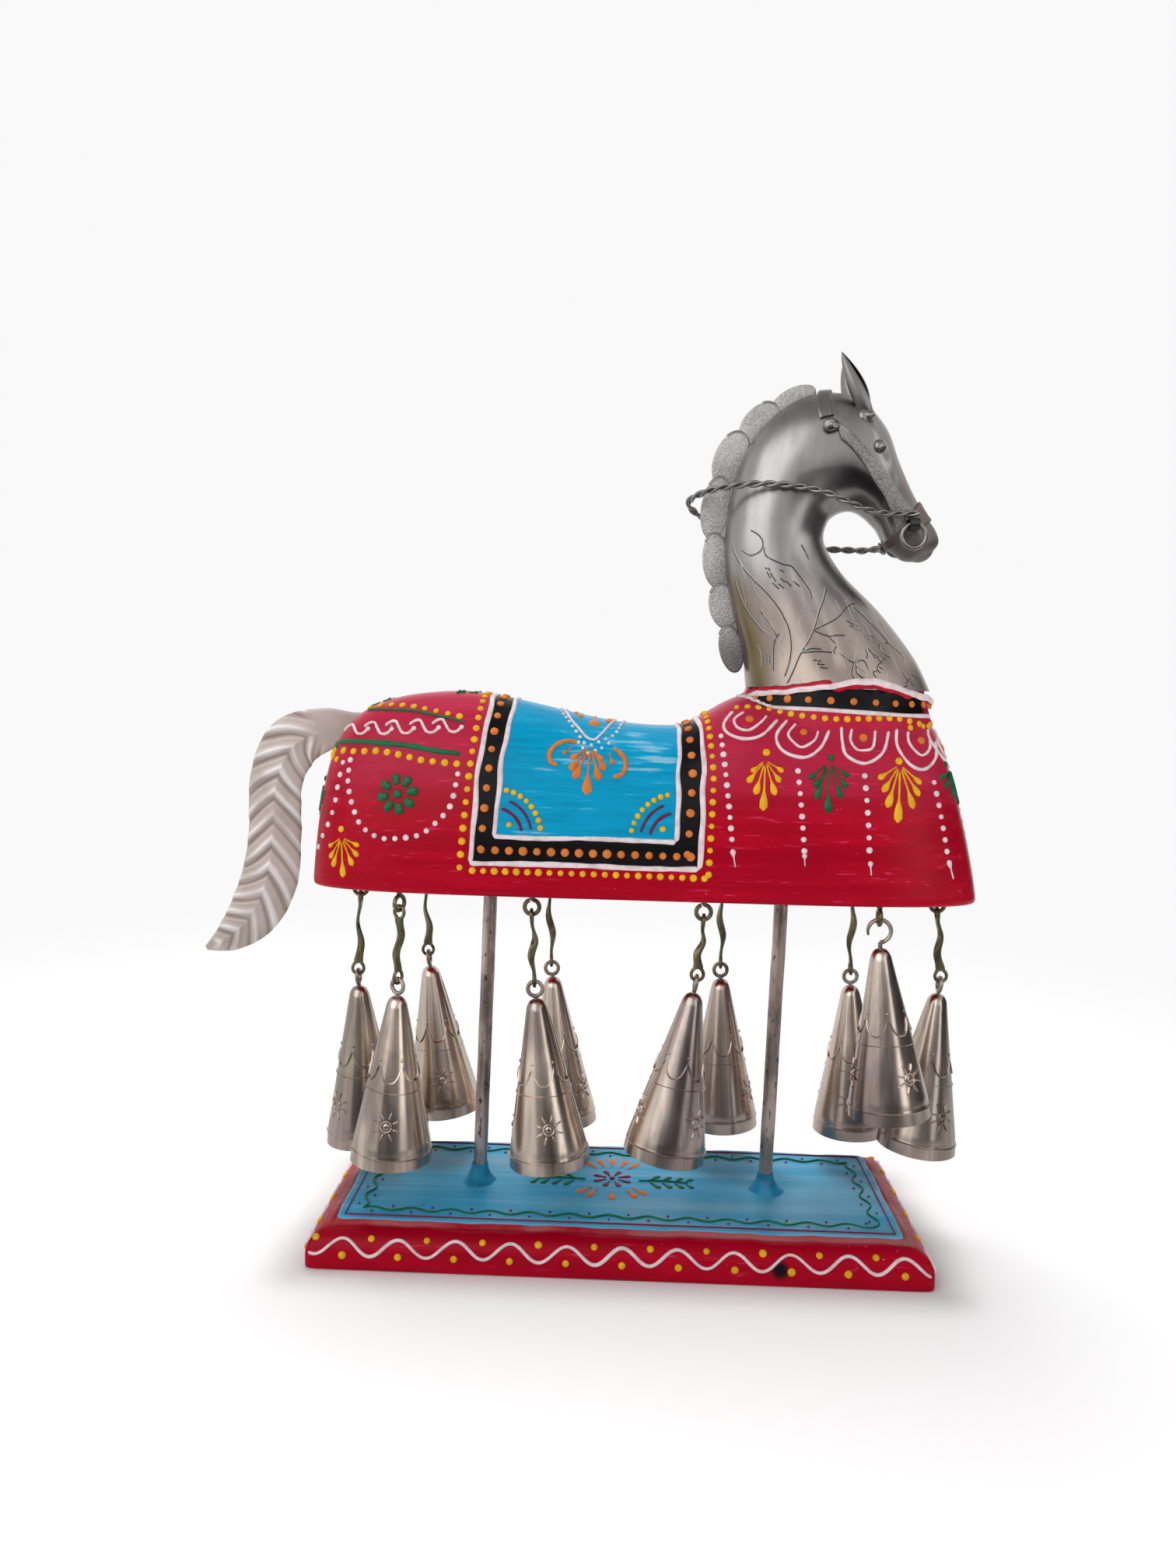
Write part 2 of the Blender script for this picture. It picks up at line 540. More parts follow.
def along(rows, s):
    """The smooth cubic curve through rows, at places counted in rows."""
    rows = np.asarray(rows, float)
    last = len(rows) - 1
    i = np.clip(np.floor(s).astype(int), 0, last - 1)
    t = (s - i)[..., None]
    a = rows[np.maximum(i - 1, 0)]
    b = rows[i]
    c = rows[i + 1]
    d = rows[np.minimum(i + 2, last)]
    return 0.5 * (2 * b + (c - a) * t + (2 * a - 5 * b + 4 * c - d) * t ** 2
                  + (3 * b - a - 3 * c + d) * t ** 3)


def curve(points, count):
    """Points evenly spaced on the smooth curve through the given ones."""
    rows = np.asarray(points, float)
    fine = along(rows, np.linspace(0, len(rows) - 1, 16 * len(rows)))
    run = distance_along(fine)
    at = np.linspace(0, run[-1], count)
    return np.stack([np.interp(at, run, column) for column in fine.T], -1)


def walls(rows, columns, around=False, lengthways=False):
    """Four-sided faces between the neighbours of a lattice, joined round and lengthways where asked."""
    i = np.arange(rows if lengthways else rows - 1)[:, None]
    j = np.arange(columns if around else columns - 1)[None, :]
    ahead = (i + 1) % rows
    beside = (j + 1) % columns
    corners = [i * columns + j, ahead * columns + j, ahead * columns + beside, i * columns + beside]
    return np.stack(corners, -1).reshape(-1, 4)


def fan(count):
    """Three-sided faces that close a ring of points."""
    k = np.arange(1, count - 1)
    return np.stack([np.zeros_like(k), k, k + 1], -1)


def skin(grid, around=False, lengthways=False, first=False, last=False):
    """A lattice of points as a surface, joined round and lengthways where asked, with fans over its ends."""
    rows, columns = grid.shape[:2]
    faces = [walls(rows, columns, around, lengthways)]
    if first:
        faces.append(fan(columns))
    if last:
        faces.append(fan(columns)[:, ::-1] + (rows - 1) * columns)
    return grid.reshape(-1, 3), faces


def closed_skin(grid):
    """A lattice joined round, with both ends closed."""
    return skin(grid, around=True, first=True, last=True)


def tube(path, radius, sides=12, up=(0, 1, 0), closed=False):
    """A round wire along a path: a circle in the plane across the path at each of its points."""
    path = np.asarray(path, float)
    if closed:
        way = np.roll(path, -1, 0) - np.roll(path, 1, 0)
    else:
        way = np.gradient(path, axis=0)
    out = unit(np.cross(unit(way), np.asarray(up, float)))
    over = np.cross(out, unit(way))
    a = circle(sides)
    reach = np.broadcast_to(np.asarray(radius, float), len(path))[:, None, None]
    ring = np.cos(a)[None, :, None] * out[:, None] + np.sin(a)[None, :, None] * over[:, None]
    grid = path[:, None] + reach * ring
    return skin(grid, around=True, lengthways=closed, first=not closed, last=not closed)


def beads(paths, normals, width, height):
    """Half-round beads on a surface: the section from foot over top to foot, carried along each path.

    Paths are lines by points by xyz. Width and height are per point, and both draw in to round ends.
    """
    paths = np.asarray(paths, float)
    lines, count = paths.shape[:2]
    steps = np.linalg.norm(np.diff(paths, axis=1), axis=2)
    run = np.concatenate([np.zeros((lines, 1)), np.cumsum(steps, 1)], 1)
    width = np.broadcast_to(np.asarray(width, float), (lines, count))
    end = np.minimum(run, run[:, -1:] - run) / np.maximum(width / 2, 1e-6)
    draw = np.sqrt(np.clip(1 - (1 - np.clip(end, 0, 1)) ** 2, 0.04, 1))
    side = unit(np.cross(unit(np.gradient(paths, axis=1)), normals))
    a = np.radians(np.linspace(-24, 204, 7))
    reach = (width * draw / 2)[..., None, None] * np.cos(a)[:, None] * side[..., None, :]
    rise = (np.broadcast_to(height, (lines, count)) * draw)[..., None, None] * np.sin(a)[:, None]
    grid = paths[..., None, :] + reach + rise * normals[..., None, :]
    sides = len(a)
    ends = np.concatenate([fan(sides), fan(sides)[:, ::-1] + (count - 1) * sides])
    first = (np.arange(lines) * count * sides)[:, None, None]
    return grid.reshape(-1, 3), [(walls(count, sides, around=True) + first).reshape(-1, 4),
                                 (ends + first).reshape(-1, 3)]


def bead(path, normals, width, height):
    """One half-round bead."""
    return beads(path[None], normals[None], width, height)


def frame_on(normals):
    """Two directions across each normal."""
    guide = np.where(np.abs(normals[..., 2:]) < 0.8, [0.0, 0, 1], [1.0, 0, 0])
    across = unit(np.cross(normals, guide))
    return across, np.cross(normals, across)


def domes(centres, normals, radius, height, sides=10):
    """Low round dots: rings of shrinking radius that rise along the normal to a top point."""
    centres = np.asarray(centres, float)
    count = len(centres)
    across, over = frame_on(normals)
    a = circle(sides)
    ring = np.cos(a)[:, None] * across[:, None] + np.sin(a)[:, None] * over[:, None]
    shrink = np.array([0.9, 1.0, 0.86, 0.5])
    lift = np.array([-0.5, 0.2, 0.72, 0.96])
    radius = np.broadcast_to(np.asarray(radius, float), count)
    height = np.broadcast_to(np.asarray(height, float), count)
    body = (centres[:, None, None] + (radius[:, None] * shrink)[..., None, None] * ring[:, None]
            + ((height[:, None] * lift)[..., None] * normals[:, None])[:, :, None])
    top = centres + height[:, None] * normals
    points = np.concatenate([body.reshape(count, -1, 3), top[:, None]], 1)
    levels = len(shrink)
    wall = walls(levels, sides, around=True)[:, [0, 3, 2, 1]]
    j = np.arange(sides)
    rim = (levels - 1) * sides
    cap = np.stack([rim + j, rim + (j + 1) % sides, np.full(sides, levels * sides)], -1)
    ends = np.concatenate([cap, fan(sides)[:, [0, 2, 1]]])
    first = (np.arange(count) * points.shape[1])[:, None, None]
    return points.reshape(-1, 3), [(wall + first).reshape(-1, 4), (ends + first).reshape(-1, 3)]


def lump(middle, normal, radius, height, seed, rough):
    """A blob of solder: a dome whose radius wavers with four waves round it."""
    chance = np.random.default_rng(seed)
    across, over = frame_on(normal)
    a = circle(28)[None, :]
    b = np.radians(np.linspace(-25, 88, 12))[:, None]
    waver = 1 + sum(rough / k * np.sin(k * a + 3 * b + chance.uniform(0, 6)) for k in (1, 2, 3, 5))
    reach = radius * np.cos(b) * waver
    rise = height * np.sin(b) * (0.7 + 0.3 * waver)
    grid = (middle + reach[..., None] * (np.cos(a)[..., None] * across + np.sin(a)[..., None] * over)
            + rise[..., None] * normal)
    return closed_skin(grid)


def turned(points, about, degrees):
    """Points turned about the Y or Z axis through the origin."""
    a = np.radians(degrees)
    c, s = np.cos(a), np.sin(a)
    turns = {"y": [[c, 0, s], [0, 1, 0], [-s, 0, c]], "z": [[c, -s, 0], [s, c, 0], [0, 0, 1]]}
    return np.asarray(points, float) @ np.array(turns[about]).T


def lay(name, parts, material, replaces=(), values=None, body="horse"):
    """Joins surfaces into one object, faces outward, that rides on a body and may stand for CAD nodes."""
    points = np.concatenate([p for p, _ in parts])
    starts = np.cumsum([0] + [len(p) for p, _ in parts[:-1]])
    faces = [f + start for (_, group), start in zip(parts, starts) for f in group]
    corners = np.concatenate([f.ravel() for f in faces])
    sizes = np.concatenate([np.full(len(f), f.shape[1]) for f in faces])
    mesh = bpy.data.meshes.new(name)
    mesh.vertices.add(len(points))
    mesh.vertices.foreach_set("co", (points * MM).ravel())
    mesh.loops.add(len(corners))
    mesh.loops.foreach_set("vertex_index", corners.astype(np.int32))
    mesh.polygons.add(len(sizes))
    mesh.polygons.foreach_set("loop_start", np.cumsum(np.r_[0, sizes[:-1]]).astype(np.int32))
    mesh.update(calc_edges=True)
    for key, value in (values or {}).items():
        stored = mesh.attributes.new(key, "FLOAT", "POINT")
        stored.data.foreach_set("value", value.ravel().astype(np.float32))
    work = bmesh.new()
    work.from_mesh(mesh)
    bmesh.ops.recalc_face_normals(work, faces=work.faces)
    work.to_mesh(mesh)
    work.free()
    mesh.polygons.foreach_set("use_smooth", np.ones(len(mesh.polygons), bool))
    mesh.set_sharp_from_angle(angle=np.radians(48))
    mesh.materials.append(material)
    piece = bpy.data.objects.new(name, mesh)
    bpy.context.scene.collection.objects.link(piece)
    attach(piece, body)
    if replaces:
        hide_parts(*replaces)


def recoat(node, material):
    """Gives a CAD node that stays in view its material."""
    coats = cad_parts[node].data.materials
    coats.clear()
    coats.append(material)


# The wooden body


def back_height(x):
    """Height of the back above the belly: the rump eases down to the dip, and the dip up to the shoulder."""
    rear = DIP + (RUMP - DIP) * ease((DIP_REAR - x) / RUMP_RUN)
    fore = DIP + (SHOULDER - DIP) * ease((x - DIP_FORE) / SHOULDER_RUN)
    return np.where(x < DIP_FORE, rear, fore)


class Hide:
    """The body's outside as a lattice over turn and sweep.

    At turn t, u = -cos t runs from rump to chest. With m for a power, the half width is (1-|u|^m)^(1/m) of
    its greatest, and the height is the back's times the like. Each section is a superellipse swept from one
    belly edge over the back to the other, its ends and sides lean in with height, and the collar's cone is
    joined on where it reaches further out.
    """

    def __init__(self, turns=280, sweeps=171):
        share = np.linspace(0, 1, turns)
        self.turns = np.radians(0.35 + 179.3 * (share - 0.115 * np.sin(2 * np.pi * share)))
        fine = np.linspace(0, np.pi, 4000)
        run = distance_along(self.outside(np.full_like(fine, np.radians(110)), fine))
        sweep = np.interp(np.linspace(0, run[-1], sweeps), run, fine)
        t, phi = np.meshgrid(self.turns, sweep, indexing="ij")
        self.points = self.outside(t, phi)
        steps = np.linalg.norm(np.diff(self.points, axis=1), axis=2)
        self.girth = np.concatenate([np.zeros((turns, 1)), np.cumsum(steps, 1)], 1)
        self.normals = unit(np.cross(np.gradient(self.points, axis=0), np.gradient(self.points, axis=1)))
        self.station = -np.cos(t) * LENGTH / 2 - MARK
        self.low = np.minimum(self.girth, self.girth[:, -1:] - self.girth)

    @staticmethod
    def half(u):
        """Half width of the plan."""
        share = np.maximum(0, 1 - np.abs(u) ** PLAN_POWER) ** (1 / PLAN_POWER)
        return np.maximum(WIDTH / 2 * share, 0.05)

    @staticmethod
    def placed(u, y, z):
        """A point from its station, sideways reach and height above the belly, with the leans put in."""
        lean = np.where(u < 0, LEAN_REAR, LEAN_FORE) * (np.maximum(z, 0) / SHOULDER) ** LEAN_POWER
        x = u * LENGTH / 2 * (1 - lean)
        return xyz(x + SHIFT, -y * (1 - LEAN_SIDE * z / SHOULDER), z + BELLY)

    def outside(self, t, phi):
        """Points of the lattice without the rounding of the belly's edge.

        The cone's reach along a ray is found by halving, and a soft maximum joins it to the section's own.
        """
        u = -np.cos(t)
        power = np.where(u < 0, RUMP_POWER, CHEST_POWER)
        rise = back_height(u * LENGTH / 2) * np.maximum(0, 1 - np.abs(u) ** power) ** (1 / power) - EDGE
        rise = np.maximum(rise, 0.05)
        c, s = np.cos(phi), np.sin(phi)
        section = (np.abs(c) / self.half(u)) ** SECTION_POWER + (np.abs(s) / rise) ** SECTION_POWER
        reach = 1 / section ** (1 / SECTION_POWER)
        low = np.zeros_like(reach)
        high = np.full_like(reach, 110.0)
        for _ in range(30):
            middle = (low + high) / 2
            p = self.placed(u, middle * c, EDGE + middle * s)
            deep = COLLAR[2] - p[..., 2]
            wide = CONE_SLOPE * np.minimum(deep, CONE_DEPTH)
            inside = ((p[..., 0] - COLLAR[0]) / (COLLAR_L / 2 + wide)) ** 2
            inside = (deep >= 0) & (inside + (p[..., 1] / (COLLAR_W / 2 + wide)) ** 2 <= 1)
            low = np.where(inside, middle, low)
            high = np.where(inside, high, middle)
        joined = 0.5 * (reach + low + np.sqrt((reach - low) ** 2 + 1.0))
        joined = np.where((low > 0.5 * reach) & (joined - reach > 0.02), joined, reach)
        return self.placed(u, joined * c, EDGE + joined * s)

    def closed(self):
        """The lattice with the belly's rounded edges and its flat underside."""
        u = -np.cos(self.turns)[:, None]
        b = np.radians(np.linspace(-90, -15, EDGE_STEPS))[None, :]
        wide = np.maximum(self.half(u) - EDGE + EDGE * np.cos(b), 0.02)
        near = self.placed(u, wide, EDGE + EDGE * np.sin(b))
        far = near[:, ::-1] * [1, -1, 1]
        middle = near[:, :1] * [1, 0, 1]
        return np.concatenate([middle, near, self.points, far], 1)

    def spread(self, values):
        """Values on the lattice carried on to the belly's columns."""
        first = np.repeat(values[:, :1], EDGE_STEPS + 1, 1)
        return np.concatenate([first, values, np.repeat(values[:, -1:], EDGE_STEPS, 1)], 1)

    @staticmethod
    def turn_at(station):
        """The turn of a station."""
        return np.arccos(np.clip(-(np.asarray(station, float) + MARK) / (LENGTH / 2), -1, 1))

    def at(self, station, girth):
        """Points and normals at stations and girths, by straight mixing between the lattice's points."""
        station, girth = np.broadcast_arrays(np.asarray(station, float), np.asarray(girth, float))
        shape = station.shape + (3,)
        i = np.interp(self.turn_at(station.ravel()), self.turns, np.arange(len(self.turns)))
        k = np.minimum(i.astype(int), len(self.turns) - 2)
        f = (i - k)[:, None]
        runs = self.girth[k] * (1 - f) + self.girth[k + 1] * f
        j = np.clip((runs <= girth.reshape(-1, 1)).sum(1) - 1, 0, runs.shape[1] - 2)
        row = np.arange(len(k))
        w = ((girth.ravel() - runs[row, j]) / (runs[row, j + 1] - runs[row, j]))[:, None]

        def pick(table):
            low = table[k, j] * (1 - w) + table[k, j + 1] * w
            high = table[k + 1, j] * (1 - w) + table[k + 1, j + 1] * w
            return low * (1 - f) + high * f

        return pick(self.points).reshape(shape), unit(pick(self.normals)).reshape(shape)

    def ridge(self, station):
        """Half the girth at stations, which is where the back's ridge runs."""
        return np.interp(self.turn_at(station), self.turns, self.girth[:, -1] / 2)

    def facing(self, sign, y, z):
        """Points and normals on the chest (sign 1) or the rump (sign -1) at sideways places and heights."""
        y, z = np.broadcast_arrays(np.asarray(y, float), np.asarray(z, float))
        kept = (self.normals[..., 0] * sign > 0.3) & (self.station * sign > 0.35 * LENGTH)
        points, normals = self.points[kept], self.normals[kept]
        far = (y.reshape(-1, 1) - points[:, 1]) ** 2 + (z.reshape(-1, 1) - points[:, 2]) ** 2
        best = far.argmin(1)
        p, n = points[best], normals[best]
        x = p[:, 0] - (n[:, 1] * (y.ravel() - p[:, 1]) + n[:, 2] * (z.ravel() - p[:, 2])) / n[:, 0]
        return xyz(x.reshape(y.shape), y, z), n.reshape(y.shape + (3,))

    def settled(self, places):
        """Places near the body dropped on to it, along the normal of the nearest lattice point."""
        kept = np.all((self.points > places.min(0) - 4) & (self.points < places.max(0) + 4), -1)
        points, normals = self.points[kept], self.normals[kept]
        best = ((places[:, None] - points) ** 2).sum(2).argmin(1)
        p, n = points[best], normals[best]
        return places - ((places - p) * n).sum(1, keepdims=True) * n, n


# Lines round the saddle cloth's border, outer and inner: girths with the stations of the rear line, the same
# for the front line, and the girth of the lower line
SADDLE = (
    (([9, 45, 85], [-64.2, -63.3, -61.8]), ([9, 45, 85], [18.9, 22.0, 20.8]), 9.8),
    (([19, 45, 85], [-56.2, -55, -53]), ([19, 50, 85], [10.5, 12.4, 12.6]), 19.5),
)


def saddle_edges(girth, inner):
    """Rear and front stations of one of the border's lines at a girth, and the girth of its lower line."""
    rear, fore, low = SADDLE[inner]
    return np.interp(girth, *rear), np.interp(girth, *fore), low


def collar_line(ahead):
    """Height of the line under the collar's black border, from its place ahead of the collar's middle."""
    return np.interp(ahead, [-38, -28, -10, 20, 38], [206.8, 207.7, 207.4, 206.0, 205.6])


def collar_top(degrees):
    """Height of the white line at the metal's foot, from the angle round the collar, -90 on the right."""
    turns = [-180, -167, -144, -127, -103, -85, -74, -65, -38, -10, 0, 45, 90, 135, 180]
    heights = [210.8, 211.2, 212.9, 213.8, 215.5, 217.9, 217.5, 216.5, 212.9, 211.2, 211.0,
               213.5, 215.8, 213.6, 210.8]
    return np.interp(degrees, turns, heights)


def swell(t):
    """Width of a drop along it, as a share: a thin stalk that swells to a round end."""
    return 0.24 + 0.76 * ease((t - 0.5) / 0.34)


class Brush:
    """Paint laid on a surface by colour: dots, lines and drops, on the near side and mirrored."""

    def __init__(self, hide, sizes):
        self.hide = hide
        self.dot = sizes.dot / MM
        self.width = sizes.line / MM
        self.relief = sizes.relief / MM
        self.parts = {}
        self.chance = np.random.default_rng(7)

    def add(self, paint, part):
        """Keeps a surface under its colour."""
        self.parts.setdefault(paint, []).append(part)

    def sides(self, places):
        """Points and normals on the near side, and the same mirrored."""
        points, normals = self.hide.at(places[..., 0], places[..., 1])
        return ((points, normals), (points * [1, -1, 1], normals * [1, -1, 1]))

    def spots(self, paint, points, normals, size=1.0):
        """Dots on points of a surface, no two quite alike."""
        points = points.reshape(-1, 3)
        normals = normals.reshape(-1, 3)
        radius = self.dot / 2 * size * self.chance.uniform(0.88, 1.12, len(points))
        self.add(paint, domes(points, normals, radius, self.relief * min(1.2, 0.6 + 0.5 * size)))

    def strip(self, paint, points, normals, width):
        """One line on points of a surface, with a hand's small changes of width."""
        t = np.linspace(0, 1, len(points))[None, :]
        phase = self.chance.uniform(0, 6, (4, 1, 1))
        waver = sum(np.sin(t * k + p) for k, p in zip((9, 17, 31, 53), phase))
        wide = self.width * width * (1 + 0.06 * waver)
        self.add(paint, bead(points, normals, wide, self.relief * (1 + 0.04 * waver)))

    def dots(self, paint, places, count=None, size=1.0):
        """Dots at places, or evenly spaced along the curve through them."""
        places = np.asarray(places, float) if count is None else curve(places, count)
        for points, normals in self.sides(places):
            self.spots(paint, points, normals, size)

    def line(self, paint, places, width=1.0, count=60):
        """A line along the curve through places."""
        for points, normals in self.sides(curve(places, count)):
            self.strip(paint, points, normals, width)

    def drops(self, paint, origin, ends, width=1.0):
        """Drops that run from near an origin out to their ends and swell there."""
        origin, ends = np.asarray(origin, float), np.asarray(ends, float)
        t = np.linspace(0, 1, 14)
        way = ends - origin
        start = origin + 0.12 * way
        places = start[:, None] + t[None, :, None] * (ends - start)[:, None]
        reach = np.linalg.norm(way, axis=1)[:, None]
        wide = self.dot * width * swell(t)[None] * (0.46 + 0.028 * reach)
        for points, normals in self.sides(places):
            self.add(paint, beads(points, normals, wide, self.relief * (0.5 + 0.6 * swell(t))[None]))


def paint_saddle(brush):
    """Saddle cloth: two white lines over the back, dots along them, corner arcs, bracket and fan."""
    hide = brush.hide
    share = np.linspace(0, 1, 150)
    side = np.minimum(share, 1 - share)
    for inner, width in ((False, 1.15), (True, 1.05)):
        low = SADDLE[inner][2]
        for which, ridge_at in ((0, -62), (1, 20)):
            climb = low + (hide.ridge(ridge_at) - low) * 2 * side
            station = saddle_edges(climb, inner)[which]
            station = station + 0.35 * np.sin(share * 23) + 0.2 * np.sin(share * 51 + 1)
            girth = np.where(share < 0.5, climb, 2 * hide.ridge(station) - climb)
            brush.strip("white", *hide.at(station, girth), width)
        rear, fore, low = saddle_edges(low, inner)
        x = np.linspace(rear, fore, 5)
        brush.line("white", np.stack([x, low + 0.25 * np.sin(x)], -1), width, 90)
    # rear and front dots between the two lines, and outside the outer line
    rows = ((0, 3.6, 15.0, 11, "orange", 1.2), (1, -4.6, 15.0, 10, "orange", 1.2),
            (0, -3.5, 8.0, 18, "yellow", 1.02), (1, 3.6, 8.0, 18, "yellow", 0.95))
    for which, offset, foot, count, paint, size in rows:
        girth = np.linspace(foot, hide.ridge((-64, 20)[which]) - 1.5, count)
        brush.dots(paint, np.stack([saddle_edges(girth, False)[which] + offset, girth], -1), size=size)
    brush.dots("orange", [(-60.2, 14.6), (-20, 14.4), (16, 14.2)], 16, 1.22)
    brush.dots("yellow", [(-63, 7.0), (-20, 7.0), (21, 6.6)], 22)
    for place, turn in (((-56, 19.5), 1), ((11, 19.5), -1)):
        corner = np.array(place)
        ring = spokes(np.linspace(78, 12, 9)) * [turn, 1]
        brush.dots("yellow", corner + 17.2 * ring, 8, 0.85)
        brush.line("maroon", corner + 13.8 * ring[1:], 0.55, 30)
        brush.line("maroon", corner + 10.3 * ring, 0.7, 30)
        brush.dots("yellow", [corner + [turn * 5.4, 4.4]], size=0.9)
    bracket = [(-35.5, 79.4), (-33.6, 72.4), (-30.4, 65.8), (-26.8, 59.4), (-23.3, 55.2), (-18.4, 57.8),
               (-13.3, 62), (-11, 70.4), (-9.8, 79.4)]
    brush.dots("white", bracket, 19, 0.52)
    brush.line("white", [(-34, 80), (-31, 70), (-27.8, 64.4), (-24.2, 59.3), (-22, 58.2), (-20.2, 58.8),
                         (-16.9, 64.8), (-14.6, 72), (-13, 80)], 0.55)
    brush.dots("white", [(-27, 56.4), (-25.2, 53.8), (-23.2, 51.8), (-20.4, 53.2), (-18, 54.4),
                         (-15.4, 56.8)], size=0.55)
    for origin, ends, width in (
            ((-21.6, 80), [(-21.5, 66.5)], 2.2), ((-30.5, 81), [(-26.5, 73.2)], 1.3),
            ((-12.6, 81), [(-16.6, 72.4)], 1.3),
            ((-22.4, 54.5), [(-29.5, 49.2), (-29.5, 44.6), (-27.8, 41.3), (-22.9, 35.6), (-18.3, 41.1),
                             (-16.4, 45.2), (-17.4, 49)], 1.45)):
        brush.drops("orange", origin, ends, width)
    brush.line("orange", [(-27.2, 56.4), (-31, 56.8), (-34.8, 55.2), (-37.5, 51.2), (-36.8, 47.6),
                          (-34.2, 46.6)], 1.0, 34)
    brush.line("orange", [(-13.6, 54.8), (-10.5, 52), (-8.7, 48.4), (-9.8, 44), (-13.4, 42.6)], 1.0, 30)
    brush.drops("orange", (-28.6, 54.6), [(-32.6, 51)], 1.3)
    brush.drops("orange", (-15.4, 53.4), [(-13.6, 47.6)], 1.4)


def paint_rump(brush):
    """Rump: two dotted rows with green lines and scrolls between them, a swag of dots, a flower and a fan."""
    hide = brush.hide
    brush.dots("yellow", [(-111.5, 73), (-102, 71.4), (-93, 69.7), (-83.4, 67.3), (-73.4, 64.9)], 9)
    brush.line("green", [(-112, 70), (-102.7, 68.3), (-92.4, 67.3), (-82.7, 65.2), (-71.1, 62.4)], 0.62)
    for start in (-120.5, -110.7, -102, -92.4, -83.6):
        rise = 0.0 if start < -110 else -0.06 * (start + 110)
        scroll = [(0, 59.6), (2, 61.4), (4, 61.6), (5.6, 59.2), (7.4, 56.8), (9.8, 56.6), (11.6, 58.4)]
        brush.line("white", [(start + x, g - rise) for x, g in scroll], 0.62, 34)
        brush.dots("white", [(start + 11.7, 58.6 - rise)], size=0.72)
    brush.line("green", [(-121, 53.4), (-112, 53.2), (-99, 52.6), (-90, 51.8), (-80.6, 50.3), (-71.1, 49.5)],
               1.25)
    brush.dots("yellow", [(-122, 49.6), (-112, 49.1), (-102.7, 49.5), (-93.7, 48.3), (-84.7, 46.5),
                          (-71.9, 45.6)], 12, 1.08)
    brush.dots("white", [(-113.5, 45.7), (-113.1, 37.6), (-110.2, 29.3), (-105.7, 21.7), (-98.3, 17.6),
                         (-89.9, 17.8), (-82.7, 19.5), (-77, 24.4), (-72.6, 30.5), (-71.1, 41.8)], 20, 0.85)
    brush.dots("white", [(-116.6, 44.6), (-117.2, 36.1), (-117.2, 31.6), (-117.8, 26.4), (-119.2, 21.4),
                         (-121.5, 16), (-123, 12)], 8, 0.85)
    flower = np.array([-93, 33.7])
    for reach, size in ((4.7, 1.2), (6.0, 1.42)):
        brush.dots("green", flower + reach * spokes(np.arange(8) * 45 + 12), size=size)
    brush.dots("green", [flower], size=1.4)
    brush.dots("yellow", [(-113.5, 19.8)])
    brush.drops("yellow", (-113, 16.8), [(-118.1, 12.8), (-117.2, 8.6), (-115.6, 5.6), (-111.1, 2.2),
                                         (-107.6, 6.7), (-105.7, 10.3), (-105.7, 14.1)], 1.15)
    # green leaves on the top of the rump, and rows round the end below the tail
    for x, g in ((-108, 78.5), (-73, 82.5)):
        brush.drops("green", (x, g), [(x - 4, g + 2.4), (x - 4.5, g - 1.5), (x + 4, g + 2.2)], 1.0)
    y = np.linspace(-20, 20, 11)
    brush.spots("yellow", *hide.facing(-1, y, 186.5 - 0.006 * y ** 2))
    y = np.linspace(-16, 16, 60)
    brush.strip("green", *hide.facing(-1, y, 189.8 - 0.006 * y ** 2), 1.1)
    for y, z, paint in ((-12, 174, "green"), (12, 174, "green"), (0, 162, "yellow")):
        end_fan(brush, paint, -1, y, z, 12.5, 3.5)


def paint_collar(brush):
    """Collar: white lines under and over the black border, orange dots on it and a yellow row below."""
    hide = brush.hide
    turns = np.linspace(-182, 180, 220)
    across, round_it = spokes(turns).T
    long, wide = COLLAR_L / 2 + 1.4, COLLAR_W / 2 + 1.6
    lower = xyz(COLLAR[0] + long * across, wide * round_it, collar_line(long * across))
    brush.strip("white", *hide.settled(lower), 0.95)
    out = unit(xyz(across / (COLLAR_L / 2), round_it / (COLLAR_W / 2), 0.004))

    def round_neck(height):
        grow = np.where(height < COLLAR[2], 0.15, 0.1) * (COLLAR[2] - height) + 0.1
        return xyz(COLLAR[0] + (COLLAR_L / 2 + grow) * across, (COLLAR_W / 2 + grow) * round_it, height)

    a = np.radians(turns)
    top = collar_top((turns + 180) % 360 - 180) + 0.2 * np.sin(9 * a) + 0.15 * np.sin(23 * a)
    for low, high, lift in ((-155, -98, 1.1), (-100, -45, -1.1), (30, 150, 1.1)):
        part = (turns > low) & (turns < high)
        brush.strip("red", round_neck(top + lift)[part], out[part], 1.5)
    brush.strip("white", round_neck(top) + 0.25 * out, out, 1.45)
    across, round_it = spokes(np.arange(27) * 360 / 27 - 87).T
    long, wide = COLLAR_L / 2 + 0.8, COLLAR_W / 2 + 0.9
    height = (collar_line(long * across) + COLLAR[2]) / 2 - 0.4
    middle = xyz(COLLAR[0] + long * across, wide * round_it, height)
    brush.spots("orange", *hide.settled(middle), 1.15)
    brush.dots("yellow", [(37.5, 74.3), (49.5, 73), (62.6, 68.9), (76.3, 66.9), (90.6, 67.3), (104.2, 68.1),
                          (118.4, 66.3)], 19, 0.95)


